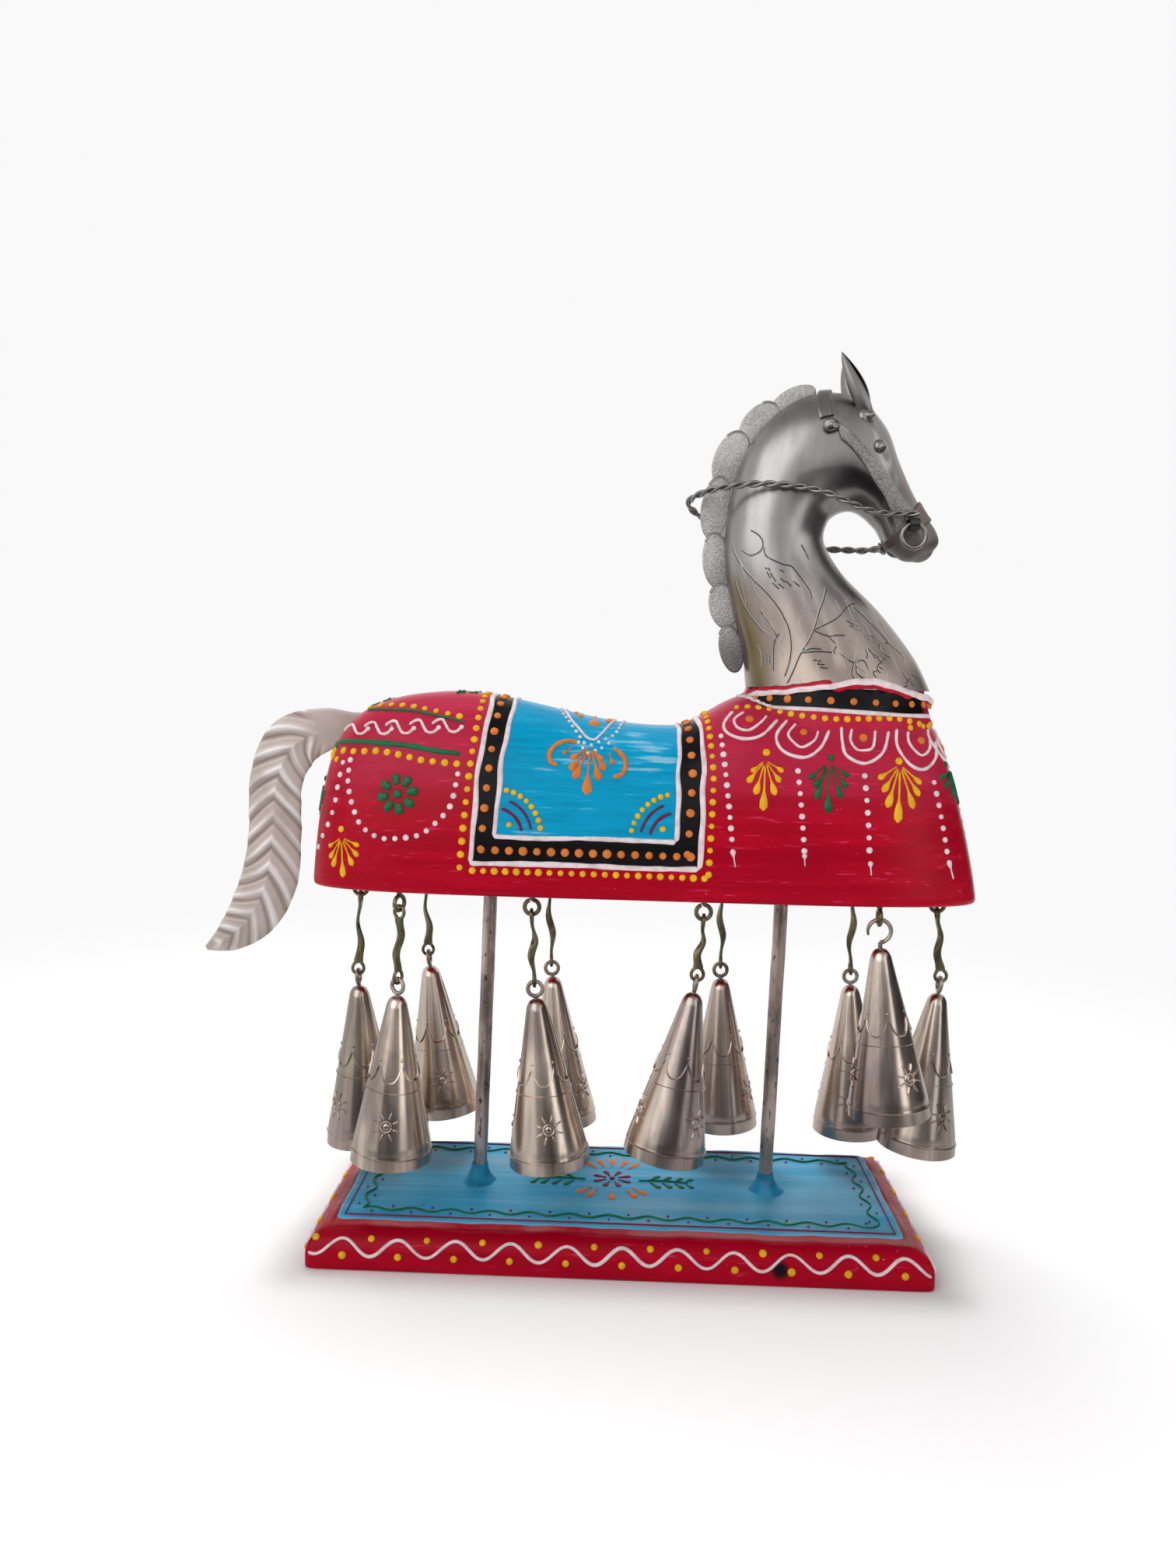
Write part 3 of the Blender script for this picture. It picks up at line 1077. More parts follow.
def paint_chest(brush):
    """Shoulder and chest: double arcs with a dot, strings of dots that end in a drop, and fans of drops."""
    hide = brush.hide
    arcs = [
        ((41.9, 67.1), [(40.1, 70.9), (35.7, 67.5), (36.6, 63.4), (41, 62.2), (46.1, 65.5), (49.5, 69.1)],
         [(35.7, 72.1), (31.3, 66), (32.2, 61.3), (38.4, 58.5), (46.1, 60.2), (53.7, 67.3)]),
        ((63.4, 62), [(61, 65.6), (57, 61.1), (58.6, 57.6), (61.8, 55.8), (67.3, 58.8), (69.6, 62.7)],
         [(57.8, 67.3), (52, 60.2), (53.7, 54.1), (61.8, 51.8), (68.9, 55.6), (74.1, 62.8)]),
        ((87.4, 60.1), [(83.4, 63.4), (82, 59.3), (83.4, 56), (86, 55.3), (90.6, 56.7), (93.1, 63.2)],
         [(79.2, 64.1), (78.5, 58.2), (79.2, 53), (86, 50.3), (94.3, 54.8), (98.9, 63.2)]),
        ((112.3, 59.9), [(107.6, 63.7), (106.6, 59), (108.9, 54.9), (111.5, 54.2), (115.3, 57), (117, 62)],
         [(102.7, 64.3), (101.1, 57.3), (104.2, 50.5), (109.8, 48.6), (116.6, 53), (119.4, 60)]),
    ]
    for dot, inner, outer in arcs:
        brush.dots("orange", [dot], size=1.2)
        brush.line("white", inner, 0.6, 44)
        brush.line("white", outer, 0.72, 54)
    strings = [
        ((29.5, 60), (31.3, 21), 11, (31.4, 17.5), (32.4, 10)),
        ((58.6, 46.5), (57.8, 17.5), 8, (57.8, 16.6), (57.6, 11.4)),
        ((84.7, 45.5), (82, 18.4), 7, (81.8, 14.5), (81.6, 8.5)),
        ((112.7, 43.6), (111.9, 18.1), 7, (112, 15), (113, 6.8)),
    ]
    for top, foot, count, head, end in strings:
        brush.dots("white", np.linspace(top, foot, count), size=0.86)
        brush.drops("white", end, [head], 1.3)
    fans = [
        ("yellow", (47, 53.2), (46.1, 50.2),
         [(40.1, 45.6), (38.4, 41.6), (41, 37.3), (43.6, 31.6), (48.7, 37.3), (51.2, 42.1), (52.9, 46.1)]),
        ("green", (72.6, 52), (71.1, 49.9),
         [(62.6, 43.8), (64.2, 40.7), (64.2, 36.3), (68.1, 31.4), (74.1, 36.9), (77, 40.7), (78.5, 45.1)]),
        ("yellow", (100, 51.5), (100, 50.2),
         [(89.9, 44.6), (90.6, 39.7), (91.2, 34), (94.3, 28.6), (101.6, 33.8), (105.2, 38.5), (107.1, 43)]),
    ]
    for paint, dot, origin, ends in fans:
        brush.dots(paint, [dot], size=1.05)
        brush.drops(paint, origin, ends, 1.2)
    # the chest's front carries on the same pattern
    for y in (-12.5, 12.5):
        b = np.radians(np.linspace(-160, 160, 50))
        for reach, width in ((3.4, 0.6), (6.6, 0.72)):
            arc = hide.facing(1, y + 0.95 * reach * np.sin(b), 194 - 1.1 * reach * np.cos(b))
            brush.strip("white", *arc, width)
        brush.spots("orange", *hide.facing(1, y, 194.0), 1.2)
        z = np.linspace(184, 158, 7)
        brush.spots("white", *hide.facing(1, y, z), 0.86)
        t = np.linspace(0, 1, 12)
        wide = brush.width * (1.4 - ease(t * 1.6))
        brush.add("white", bead(*hide.facing(1, y, 154.5 - 7 * t), wide, brush.relief))
    for y, paint in ((-18, "green"), (0, "yellow"), (18, "green")):
        end_fan(brush, paint, 1, y, 186.0, 13.0, 5.5)
    y = np.linspace(-20, 20, 11)
    brush.spots("yellow", *hide.facing(1, y, 203.0 - 0.004 * y * y), 0.95)


def end_fan(brush, paint, sign, y, z, reach, shrink):
    """A fan of seven drops and a dot on the chest or the rump, hung from a sideways place and a height."""
    t = np.linspace(0.12, 1, 12)[None, :]
    b = np.radians(np.arange(-66, 67, 22))[:, None]
    out = (reach - shrink * np.abs(b)) * t
    points, normals = brush.hide.facing(sign, y + out * np.sin(b), z - out * np.cos(b))
    brush.add(paint, beads(points, normals, brush.dot * 0.95 * swell(t), brush.relief))
    brush.spots(paint, *brush.hide.facing(sign, y, z + 2.2))


# The head


def head_relief(s, angle):
    """Small lifts of the head's skin: brow, eye socket, jaw, nose and the hollows of the neck."""
    lift = 0.9 * hump(s, 9.2, 0.4) * hump(angle, 60, 10) - 0.8 * hump(s, 9.9, 0.26) * hump(angle, 70, 9)
    lift += 1.1 * hump(s, 9.0, 1.3) * hump(angle, 128, 20) - 0.7 * hump(s, 11.3, 0.8) * hump(angle, 112, 12)
    lift += 0.5 * hump(s, 11.2, 0.9) * hump(angle, 62, 12)
    lift += 0.5 * hump(s, 14.5, 0.6) * hump(angle, 75, 30)
    lift -= 1.1 * hump(angle, 84 + 5 * (s - 0.6), 8) * ease((s - 0.3) / 0.6) * ease((3.6 - s) / 1.2)
    lift -= 0.7 * hump(angle, 34 + 3 * s, 8) * ease((s - 0.3) / 0.6) * ease((3.4 - s) / 1.4)
    return lift


def head_point(s, angle, lift=0.0, side=-1, relief=False):
    """A point on the head: at a row and an angle from the crest, on the ellipse between crest and throat.

    It is lifted off the head by a distance. The side is -1 on the right.
    """
    s, angle = np.broadcast_arrays(np.asarray(s, float), np.asarray(angle, float))
    row = along(HEAD, s)
    crest, throat = row[..., 0:2], row[..., 2:4]
    spine = (crest - throat) / 2
    up = lift + (head_relief(s, np.abs(angle)) if relief else 0.0)
    up = np.broadcast_to(np.asarray(up, float), s.shape)
    a = np.radians(angle)
    p = (crest + throat) / 2 + np.cos(a)[..., None] * (spine + up[..., None] * unit(spine))
    y = side * np.sin(a) * (row[..., 4] + up)
    return xyz(p[..., 0], y, p[..., 1]) + COLLAR


def head_normal(s, angle, side=-1):
    """The outward direction there: across the ways along the head and round it."""
    s, angle = np.broadcast_arrays(np.asarray(s, float), np.asarray(angle, float))
    ahead = head_point(s + 0.04, angle, 0, side) - head_point(s - 0.04, angle, 0, side)
    round_it = head_point(s, angle + 1, 0, side) - head_point(s, angle - 1, 0, side)
    return side * unit(np.cross(unit(ahead), unit(round_it)))


def head_half(side):
    """One pressed half of the head: rows from the collar to the nose, a rounded nose end and the seam face.

    With it go the shares of dark, olive and brown stain that its material reads.
    """
    s = np.concatenate([np.linspace(0, 8, 90, endpoint=False), np.linspace(8, 16, 150)])[:, None]
    angle = np.linspace(0, 180, 81)[None, :]
    grid = head_point(s, angle, 0, side, True)
    middle = (grid[-1, 0] + grid[-1, -1]) / 2
    spine = grid[-1, 0] - grid[-1, -1]
    way = unit(np.array([spine[2], 0, -spine[0]]))
    b = np.radians(np.linspace(49, 89, 8))[:, None, None]
    first = np.radians(45)
    rise = (np.sin(b) - np.sin(first)) / (1 - np.sin(first))
    nose = middle + np.cos(b) / np.cos(first) * (grid[-1] - middle)[None] + rise * 1.7 * way
    s = np.concatenate([s, np.full((len(nose), 1), 16.0)])
    over = np.interp(s, [5.2, 5.9, 7, 8.5, 10.6], [96, 84, 100, 105, 107])
    patch = ease((angle - over) / 9) * ease((s - 5.3) / 0.6) * ease((11 - s) / 0.8)
    patch *= 1 - 0.5 * ease((angle - over - 24) / 16)
    patch *= 0.5 + 0.5 * hump(s, 8.8, 1.2) * hump(angle, over + 12, 12)
    shade = patch + 0.12 * ease((s - 13.0) / 0.6)
    for share, row, rows, turn, turns in ((0.6, 2.4, 0.7, 116, 12), (0.5, 4.3, 1.3, 168, 24),
                                          (0.55, 1.0, 0.7, 122, 10), (0.4, 1.7, 0.6, 60, 7)):
        shade += share * hump(s, row, rows) * hump(angle, turn, turns)
    brown = 0.4 * ease((s - 9.6) / 2) * ease((13.5 - s) / 0.7) * hump(angle, 52, 26)
    brown += 0.62 * ease((s - 12.8) / 0.7)
    olive = hump(angle, 27, 15) * ease((3.4 - s) / 1.2)
    return closed_skin(np.concatenate([grid, nose])), {"shade": shade, "olive": olive, "brown": brown}


# Lines scribed in the neck: rows and angles from the crest
SCRIBED = [
    [(3.6, 28), (3.12, 37.5), (2.43, 56.5), (1.99, 63.5), (1.56, 65), (1.12, 61.5), (0.75, 57), (0.37, 51)],
    [(0.14, 52), (0.5, 58), (0.93, 66.5), (1.48, 82), (2.02, 97.5), (2.52, 114)],
    [(1.48, 82), (1.75, 103), (2.05, 120), (2.16, 132)], [(1.46, 82), (1.36, 90), (1.38, 95.5), (1.39, 102)],
    [(0.94, 67), (1.05, 74), (1.05, 81.5)], [(0.94, 67), (0.99, 78), (0.97, 89.5)],
    [(3.98, 56.5), (3.86, 66), (3.65, 70.5), (3.42, 66), (3.29, 54), (3.42, 43)],
    [(3.55, 71), (3.28, 71), (3.08, 84), (2.99, 94), (2.49, 97.5), (2.2, 94.5)],
    [(0.97, 92), (0.84, 95), (0.76, 98.5), (0.81, 105.5), (0.54, 106.5)],
    [(0.76, 98.5), (0.52, 95), (0.32, 95.5)],
    [(1.72, 133), (1.42, 136), (1.13, 137.5)], [(2.05, 126), (1.7, 131), (1.22, 136)],
    [(1.4, 56), (1.11, 48), (0.5, 43)], [(2.67, 26.5), (2.2, 29), (1.82, 33), (1.4, 42)],
    [(3.71, 113), (3.48, 115), (3.26, 115)], [(1.9, 47), (1.5, 52), (1.3, 53)],
    [(0.78, 73), (0.76, 78)], [(0.7, 74.5), (0.68, 79.5)], [(0.62, 76), (0.6, 81)],
    [(2.97, 66.5), (2.92, 68)], [(2.96, 69.5), (2.88, 70.5)], [(2.86, 67), (2.7, 68)],
    [(2.84, 70), (2.6, 71.5)],
    [(2.92, 80), (2.86, 83.5)], [(2.7, 77), (2.6, 79.5)], [(2.66, 80), (2.5, 83)], [(2.64, 87), (2.5, 90)],
    [(2.58, 68), (2.42, 71)], [(2.56, 72.5), (2.44, 76)], [(0.9, 36), (0.7, 35)], [(0.92, 39), (0.72, 38)],
    [(0.9, 42), (0.7, 41)], [(1.72, 110), (1.6, 116)], [(1.62, 110), (1.5, 117)],
    [(15.2, 118), (15.5, 112), (15.8, 106), (15.98, 100)],
]


# Blobs on the head: row, angle, lift, radius, height, seed and roughness of the eyes' bosses and the solder
# above them, and of the dark middles of both
EYES = ((9.57, 74.0, 0.1, 2.5, 1.5, 5, 0.05), (9.06, 49.0, 0.1, 2.9, 1.9, 8, 0.2))
PUPILS = ((9.63, 77.0, 0.5, 1.25, 1.2, 6, 0.1), (9.12, 55.5, 0.3, 1.3, 0.8, 9, 0.15))
# Solder on the bands, at both sides and under the chin: row, angle, radius, height, seed and roughness
ROSETTES = ((7.72, 70, 2.7, 2.0, 11, 0.16), (12.5, 88, 1.7, 1.2, 13, 0.16))
CHIN = (12.95, 168.0, 2.4, 1.6, 30, 0.2)


def blob(side, s, angle, lift, *shape):
    """A lump on the head at a row and an angle."""
    return lump(head_point(s, angle, lift, side), head_normal(s, angle, side), *shape)


def cracks(count, rows, angles, reach):
    """Short random scratches between two rows and two angles: three places each, drifting down the neck."""
    chance = np.random.default_rng(count)
    start = chance.uniform([rows[0], angles[0]], [rows[1], angles[1]], (count, 1, 2))
    step = chance.normal([-reach, 0.0], [0.4 * reach, 3.0], (count, 2, 2))
    return np.concatenate([start, start + np.cumsum(step, 1)], 1).clip([0.1, 20], [4, 160])


def strap(s, angle, rows=0.0, degrees=0.0, side=-1, closed=False, knurl=0.0):
    """A band along rows and angles of the head, half its width given in rows or in degrees.

    It is level in the middle, with a raised rim, and closed below.
    """
    first = np.stack(np.broadcast_arrays(s - rows, angle - degrees), -1)
    second = np.stack(np.broadcast_arrays(s + rows, angle + degrees), -1)
    c = np.linspace(0, 1, 11)
    places = first[:, None] + (second - first)[:, None] * c[None, :, None]
    rim = 0.14 * (hump(c, 0.06, 0.09) + hump(c, 0.94, 0.09)) - 0.35 * (hump(c, 0, 0.04) + hump(c, 1, 0.04))
    chance = np.random.default_rng(3)
    rough = knurl * chance.uniform(-1, 1, places.shape[:2]) * (np.abs(c - 0.5) < 0.42)
    top = head_point(places[..., 0], places[..., 1], BAND_PLAY + BAND_T * (1 + rim) + rough, side)
    under = head_point(places[..., 0], places[..., 1], BAND_PLAY * 0.4, side)[:, ::-1]
    grid = np.concatenate([top, under], 1)
    return skin(grid, around=True, lengthways=closed, first=not closed, last=not closed)


def strap_reach(size, s, angle, way):
    """How many rows (way 0) or degrees (way 1) a length takes at places on the head."""
    if way == 0:
        return size / np.linalg.norm(head_point(s + 0.5, angle) - head_point(s - 0.5, angle), axis=-1)
    return 20 * size / np.linalg.norm(head_point(s, angle + 10) - head_point(s, angle - 10), axis=-1)


def ear(side):
    """A curled leaf: its foot is an open oval, its wall bellies out and draws in to a leaning tip."""
    row, turn, height = EAR
    foot = head_point(row, turn, BAND_PLAY, side)
    ahead, outward = (-11, 2) if side < 0 else (-5.5, 1)
    tip = foot + height * unit(np.array([ahead, side * outward, height]))
    a = np.radians(50 + 260 * np.linspace(0, 1, 45))[None, :]
    v = (0.985 * np.linspace(0, 1, 30) ** 0.9)[:, None, None]
    base = head_point(row + 0.33 * np.cos(a), turn + 12 * np.sin(a), -0.3, side) - foot
    spread = base * ((1 - v) * (1 + 3.7 * v))
    reach = np.linalg.norm(spread, axis=-1, keepdims=True)
    thick = 0.75 * (1 - 0.5 * v)
    middle = foot + v * (tip - foot) + 7.5 * v * (1 - v) * [1.0, 0, 0]
    inner = middle + spread * np.maximum(0.3, 1 - thick / np.maximum(reach, thick))
    return closed_skin(np.concatenate([middle + spread, inner[:, ::-1]], 1))


def crest_place(s):
    """Points on the crest, with the way ahead along it and the way out from it."""
    ahead = unit(head_point(s + 0.05, 0) - head_point(s - 0.05, 0))
    return head_point(s, 0), ahead, xyz(-ahead[..., 2], 0, ahead[..., 0])


def mane_scallop(index):
    """One scallop: an oval plate along the crest with a rounded rim, and its arc raised over the next one."""
    row, away, long, wide = MANE[index]
    long = MANE_STRETCH * long
    point, ahead, out = crest_place(row)
    middle = point + away * out
    half = MANE_T / 2 * (1.0 - 0.03 * index)
    sideways = np.array([0.0, 1, 0])

    def oval(a, inset):
        return middle + (long - inset) * np.cos(a) * ahead + (wide - inset) * np.sin(a) * out

    b = np.radians(np.linspace(-90, 90, 9))[:, None, None]
    grid = oval(circle(80)[None, :, None], half * (1 - np.cos(b))) + half * np.sin(b) * sideways
    rims, creases = [], []
    a = np.radians(np.linspace(-52, 46, 40))[:, None]
    for face in (-sideways, sideways):
        for inset, width, height, kept in ((0.3, 0.6, 0.3, rims), (-0.15, 0.3, 0.12, creases)):
            path = oval(a, inset) + half * face
            kept.append(bead(path, np.broadcast_to(face, path.shape), width, height))
    return closed_skin(grid), rims, creases


def mane_strip():
    """The strip along the crest that carries the scallops."""
    first, last, width = MANE_STRIP
    point, _, out = crest_place(np.linspace(first, last, 90))
    corners = np.array([[-0.8, -1], [width, -1], [width, 1], [-0.8, 1]])
    sway = corners[None, :, 1:] * [0.0, 0.36 * MANE_T, 0.0]
    return closed_skin(point[:, None] + corners[None, :, :1] * out[:, None] + sway)


def rein_path():
    """The rein's middle line: from the right knuckle back round the neck to the far side of the noseband."""
    side = head_point(NOSE_ROW, KNUCKLE_ANGLE, BAND_PLAY + BAND_T) - COLLAR
    rest = 2 * STRAND_R + BAND_PLAY
    near = np.array([side[0] - KNUCKLE_L / 2, side[1] - KNUCKLE_R - BAND_PLAY, side[2] + KNUCKLE_R + rest])
    far = head_point(NOSE_ROW, REIN_FAR_ANGLE, BAND_PLAY + BAND_T + rest, 1) - COLLAR
    return curve([near + [KNUCKLE_L, 0, 0], near, *REIN, far], 900) + COLLAR


def rein_strands():
    """Two round wires that wind about the rein's middle line."""
    path = rein_path()
    way = unit(np.gradient(path, axis=0))
    out = unit(np.cross(way, [0.0, 0, 1]))
    over = np.cross(out, way)
    phase = 2 * np.pi * distance_along(path)[:, None] / REIN_PITCH
    for start in (0, np.pi):
        sway = STRAND_R * (np.cos(phase + start) * out + np.sin(phase + start) * over)
        yield tube(path + sway, STRAND_R * 0.98, 9, up=(0, 0, 1))


def tail_sheet(pleat):
    """The tail: a sheet along its curved middle line, pressed with ridges that fall from there to both edges.

    A ridge is a bell curve over run - 0.95 |across|, with a crease below it.
    """
    s = np.linspace(0, len(TAIL) - 1, 300)
    row = along(TAIL, s)
    way = unit(np.gradient(row[:, :2], axis=0))
    across = np.stack([way[:, 1], -way[:, 0]], -1)
    run = distance_along(row[:, :2])[:, None]
    v = np.linspace(-1, 1, 61)[None, :]
    half = row[:, 2:3]
    phase = (run - 0.95 * np.abs(v + 0.1 * np.sin(run / 17)) * half + 0.7 * np.sin(run / 9 + 2 * v)) / 9.9
    saw = phase - np.floor(phase)
    fade = ease((run - 20) / 8) * ease((run[-1] - run) / 8) * (0.8 + 0.2 * np.sin(run / 6 + 3 * v))
    press = (hump(saw, 0.42, 0.19) - 0.8 * hump(saw, 0.76, 0.13)) * fade
    bend = 0.5 * np.sin(run / 30) * fade
    edge = np.sqrt(np.clip(1 - v ** 12, 0.05, 1))
    flat = row[:, None, :2] + (v * half)[..., None] * across[:, None]

    def face(sign):
        y = bend - 0.6 * pleat * press + sign * 0.42 * edge
        return xyz(flat[..., 0], y, flat[..., 1]) + TAIL_ROOT

    grid = np.concatenate([face(-1), face(1)[:, ::-1]], 1)
    return closed_skin(grid), {"press": np.concatenate([press, press[:, ::-1]], 1)}


# Base board and posts


def lap(count_x=150, count_y=64):
    """Places round a rectangle as shares of its half sizes, front side first."""
    x = np.linspace(-1, 1, count_x, endpoint=False)
    y = np.linspace(-1, 1, count_y, endpoint=False)
    front = np.stack([x, np.full_like(x, -1)], -1)
    end = np.stack([np.ones_like(y), y], -1)
    return np.concatenate([front, end, -front, -end])


def board():
    """The moulded board: a profile of foot, oval nose, groove and rim, round a rectangle with worn corners.

    With it go the distance in from the panel's edge and the share of wear, which its material reads.
    """
    a = np.radians(np.linspace(0, 90, 17))
    nose = np.stack([NOSE_D - NOSE_D * np.cos(a), FOOT + NOSE_H * np.sin(a)], -1)
    cove = np.array([[8.6, 13.4], [8.9, 13.35], [9.2, 13.6], [9.4, 14.3]])
    inset = np.r_[RIM + 0.15, RIM + 0.6, np.linspace(RIM + 1.2, BASE_Y - 0.05, 26)]
    top = np.stack([inset, np.full_like(inset, BASE_H)], -1)
    top[0, 1] -= 0.35
    foot = np.array([[1.6, 0.0], [0.5, 0.15], [0.1, 0.6], [0.0, 1.5], [0.0, 3.2]])
    profile = np.concatenate([foot, nose, cove, top])
    round_it = lap()
    d, z = profile[:, 0, None], profile[:, 1, None]
    x = round_it[:, 0] * (BASE_X - d)
    y = round_it[:, 1] * (BASE_Y - d)
    from_corner = np.minimum(BASE_X - d - np.abs(x), 60) + np.minimum(BASE_Y - d - np.abs(y), 60)
    worn = 0.9 * np.exp(-np.maximum(0, from_corner) / 1.8) * ease((RIM + 8 - d) / 8)
    x = x - worn * np.sign(x)
    y = y - worn * np.sign(y)
    lie = (0.22 * np.sin(x / 9.1 + y / 4.7) + 0.16 * np.sin(x / 3.7 - y / 6.1 + 1)
           + 0.1 * np.sin(x / 1.9 + y / 2.3))
    z = z + lie * hump(d, 8.5, 2.2) - PANEL_DIP * (d > RIM) * ease((d - RIM) / 10)
    at_end = np.abs(round_it[:, 0]) > 0.999
    notch = np.maximum(0, np.sin((y + 0.8 * z) * 1.9)) ** 3 * hump(d, 8.2, 1.6) * at_end
    panel = np.where(z > BASE_H - 0.8, d - RIM - 0.1, -1.0)
    rim = hump(d, RIM - 0.8, 1.6) + 0.9 * hump(d, 8, 3) * at_end
    return closed_skin(xyz(x - 0.45 * notch * np.sign(x), y, z)), {"panel": panel, "rim": rim}


def edge_points(x, run):
    """Points and normals on the front edge: up the foot, then round the nose."""
    turn = np.clip((run - FOOT) / NOSE_H, 0, np.pi / 2)
    y = -(BASE_Y - NOSE_D + NOSE_D * np.cos(turn))
    z = np.where(run < FOOT, run, FOOT + NOSE_H * np.sin(turn))
    return xyz(x, y, z), xyz(0, -np.cos(turn), np.sin(turn))


def all_edges(points, normals, along_x):
    """Ornament of the front put where it is for: on front and back, or swung round to both ends."""
    if along_x:
        return [(points, normals), (points * [-1, -1, 1], normals * [-1, -1, 1])]
    shift = np.array([0, BASE_Y - BASE_X, 0])
    swung = turned((points + shift).reshape(-1, 3), "z", 90).reshape(points.shape)
    facing = turned(normals.reshape(-1, 3), "z", 90).reshape(normals.shape)
    return [(swung, facing), (swung * [-1, -1, 1], facing * [-1, -1, 1])]


def paint_board(brush, wave):
    """Board: a white wave with yellow dots round the edge; border, green wave and flowers on the panel."""
    for along_x, half, count in ((True, BASE_X - 2, 420), (False, BASE_Y - 2, 180)):
        x = np.linspace(-half, half, count)
        drift = 0.35 * np.sin(x / 23) + 0.2 * np.sin(x / 7.3)
        run = 8.9 + 3.0 * np.cos(2 * np.pi * (x - CREST_X + drift) / wave) + 0.2 * np.sin(x / 11)
        for points, normals in all_edges(*edge_points(x, run), along_x):
            brush.strip("white", points, normals, 0.74)
        crest = CREST_X + wave * np.round(-CREST_X / wave) + wave * np.arange(-8, 9)
        for places, height in ((crest, 5.9), (crest + wave / 2, 11.9)):
            places = places[np.abs(places) < half - 1]
            for points, normals in all_edges(*edge_points(places, np.full_like(places, height)), along_x):
                brush.spots("yellow", points, normals, 1.1)
    share = lap(200, 90)
    share = np.concatenate([share, share[:2]])
    brush.strip("maroon", *on_panel(share * [BASE_X - 12.6, BASE_Y - 12.4]), 0.32)
    for along_x, half, other in ((True, BASE_X - 18, BASE_Y - 18.2), (False, BASE_Y - 18.2, BASE_X - 18)):
        n = np.round(2 * half / 14.6)
        x = np.linspace(-half, half, 260)
        sway = 1.35 * np.sin(np.pi * n * (x / half + 1))
        spots = np.linspace(-half, half, int(2 * n) + 1)[:-1] + half / (2 * n)
        dots = 2.2 * np.cos(np.pi * np.arange(len(spots)))
        for sign in (-1, 1):
            line = np.stack([x, sign * other + sway], -1)
            spot = np.stack([spots, sign * other - dots], -1)
            if not along_x:
                line, spot = line[:, ::-1], spot[:, ::-1]
            brush.strip("green", *on_panel(line), 0.4)
            brush.spots("maroon", *on_panel(spot), 0.42)
    centre = np.array([-2.7, 5.0])
    ring = spokes(np.arange(8) * 45 + 22)
    petals(brush, "maroon", centre + 2.4 * ring, centre + 8.2 * ring, 2.5)
    brush.spots("maroon", *on_panel(centre), 0.9)
    for sign, turns, reach in ((1, (-34, -17, 0, 17, 34), 11.0), (-1, (-44, -29, 0, 29, 44), 11.5)):
        ring = spokes(np.array(turns))[:, ::-1] * [1, sign]
        petals(brush, "orange", centre + reach * ring, centre + (reach + 8.5) * ring, 2.9)
    for sign in (-1, 1):
        stem = centre + [sign * 10.5, -1.5]
        tip = centre + [sign * 30.5, -2.2]
        brush.strip("green", *on_panel(curve([stem, (stem + tip) / 2 + [0, 0.7], tip], 40)), 0.42)
        t = np.array([0.2, 0.45, 0.7, 0.92])[:, None]
        root = stem + t * (tip - stem)
        for way in (-1, 1):
            leaf = root + np.array([sign * 4.4, way * 5.6]) * (1.15 - 0.35 * t)
            petals(brush, "green", root + [sign * 0.6, way * 0.8], leaf, 2.5)


def on_panel(places):
    """Points and normals on the flat panel."""
    points = xyz(places[..., 0], places[..., 1], BASE_H - PANEL_PAINT)
    return points, np.broadcast_to([0.0, 0, 1], points.shape)


def petals(brush, paint, starts, ends, width):
    """Drops on the flat panel from starts to ends."""
    t = np.linspace(0, 1, 12)[None, :, None]
    points, normals = on_panel(starts[:, None] + t * (ends - starts)[:, None])
    wide = width * (0.3 + 0.7 * ease((t[..., 0] - 0.2) / 0.5))
    brush.add(paint, beads(points, normals, wide, 0.6 * brush.relief))


def round_post(x, z, reach, a):
    """A closed skin round a post's leaning axis, at heights, reaches from the axis and angles."""
    axis = x + (z - (BASE_H + BELLY) / 2) * np.tan(np.radians(POST_LEAN))
    return closed_skin(xyz(axis + reach * np.cos(a), reach * np.sin(a), z))


def post(x, seed):
    """A drawn rod with small dents, along its leaning axis."""
    chance = np.random.default_rng(seed)
    z = np.linspace(POST_FOOT, POST_TOP, 160)[:, None]
    a = circle(40)[None, :]
    dent = sum(0.05 * np.sin(k * a + z / w + p)
               for k, w, p in zip((1, 2, 3, 5), (7.1, 3.3, 11, 5), chance.uniform(0, 6, 4)))
    return round_post(x, z, POST_R - 0.06 + 0.5 * dent, a)


def post_paint(x, drop):
    """Body paint that has run on to a post's top: a thin sleeve with a ragged lower edge."""
    a = circle(48)[None, :]
    t = np.linspace(0, 1, 8)[:, None]
    low = BELLY - drop * (1 + 0.3 * np.sin(2 * a + x) + 0.2 * np.sin(5 * a))
    return round_post(x, low + (BELLY + 1 - low) * t, POST_R + 0.14 * ease(t * 4) + 0.02, a)


def filler_cone(x, seed):
    """Filler round a post's foot: a hollow-sided cone whose skirt wavers."""
    chance = np.random.default_rng(seed)
    t = np.linspace(0, 1, 22)[:, None]
    a = circle(64)[None, :]
    waver = sum(0.5 / k * np.sin(k * a + p + 2 * t) for k, p in zip((1, 2, 3, 5, 7), chance.uniform(0, 6, 5)))
    reach = POST_R + 0.35 + (3.7 + 1.7 * waver) * (1 - t) ** 2.2 + 0.2 * waver
    return round_post(x, BASE_H - 0.4 + (7.4 + 0.4 * np.sin(2 * a + seed)) * t ** 0.95, reach, a)


# Hangers and bells


def bell_spin(k):
    """How far a bell and its loop are turned about their upright."""
    hang = HANGS[k]
    return hang.turn + hang.twist if hang.link else 0


def bell_frame(k, part):
    """A bell's surface put in place: on its own it hangs from the origin down along -Z."""
    hang = HANGS[k]
    origin = np.array([hang.x, hang.y, EYE_WIRE_Z])
    if hang.link:
        origin = origin - [0, 0, HANG_DROP] + turned([0, 0, -hang.link], "y", -hang.lean)
    points, faces = part
    return turned(turned(points, "z", bell_spin(k)), "y", -hang.tilt) + origin, faces


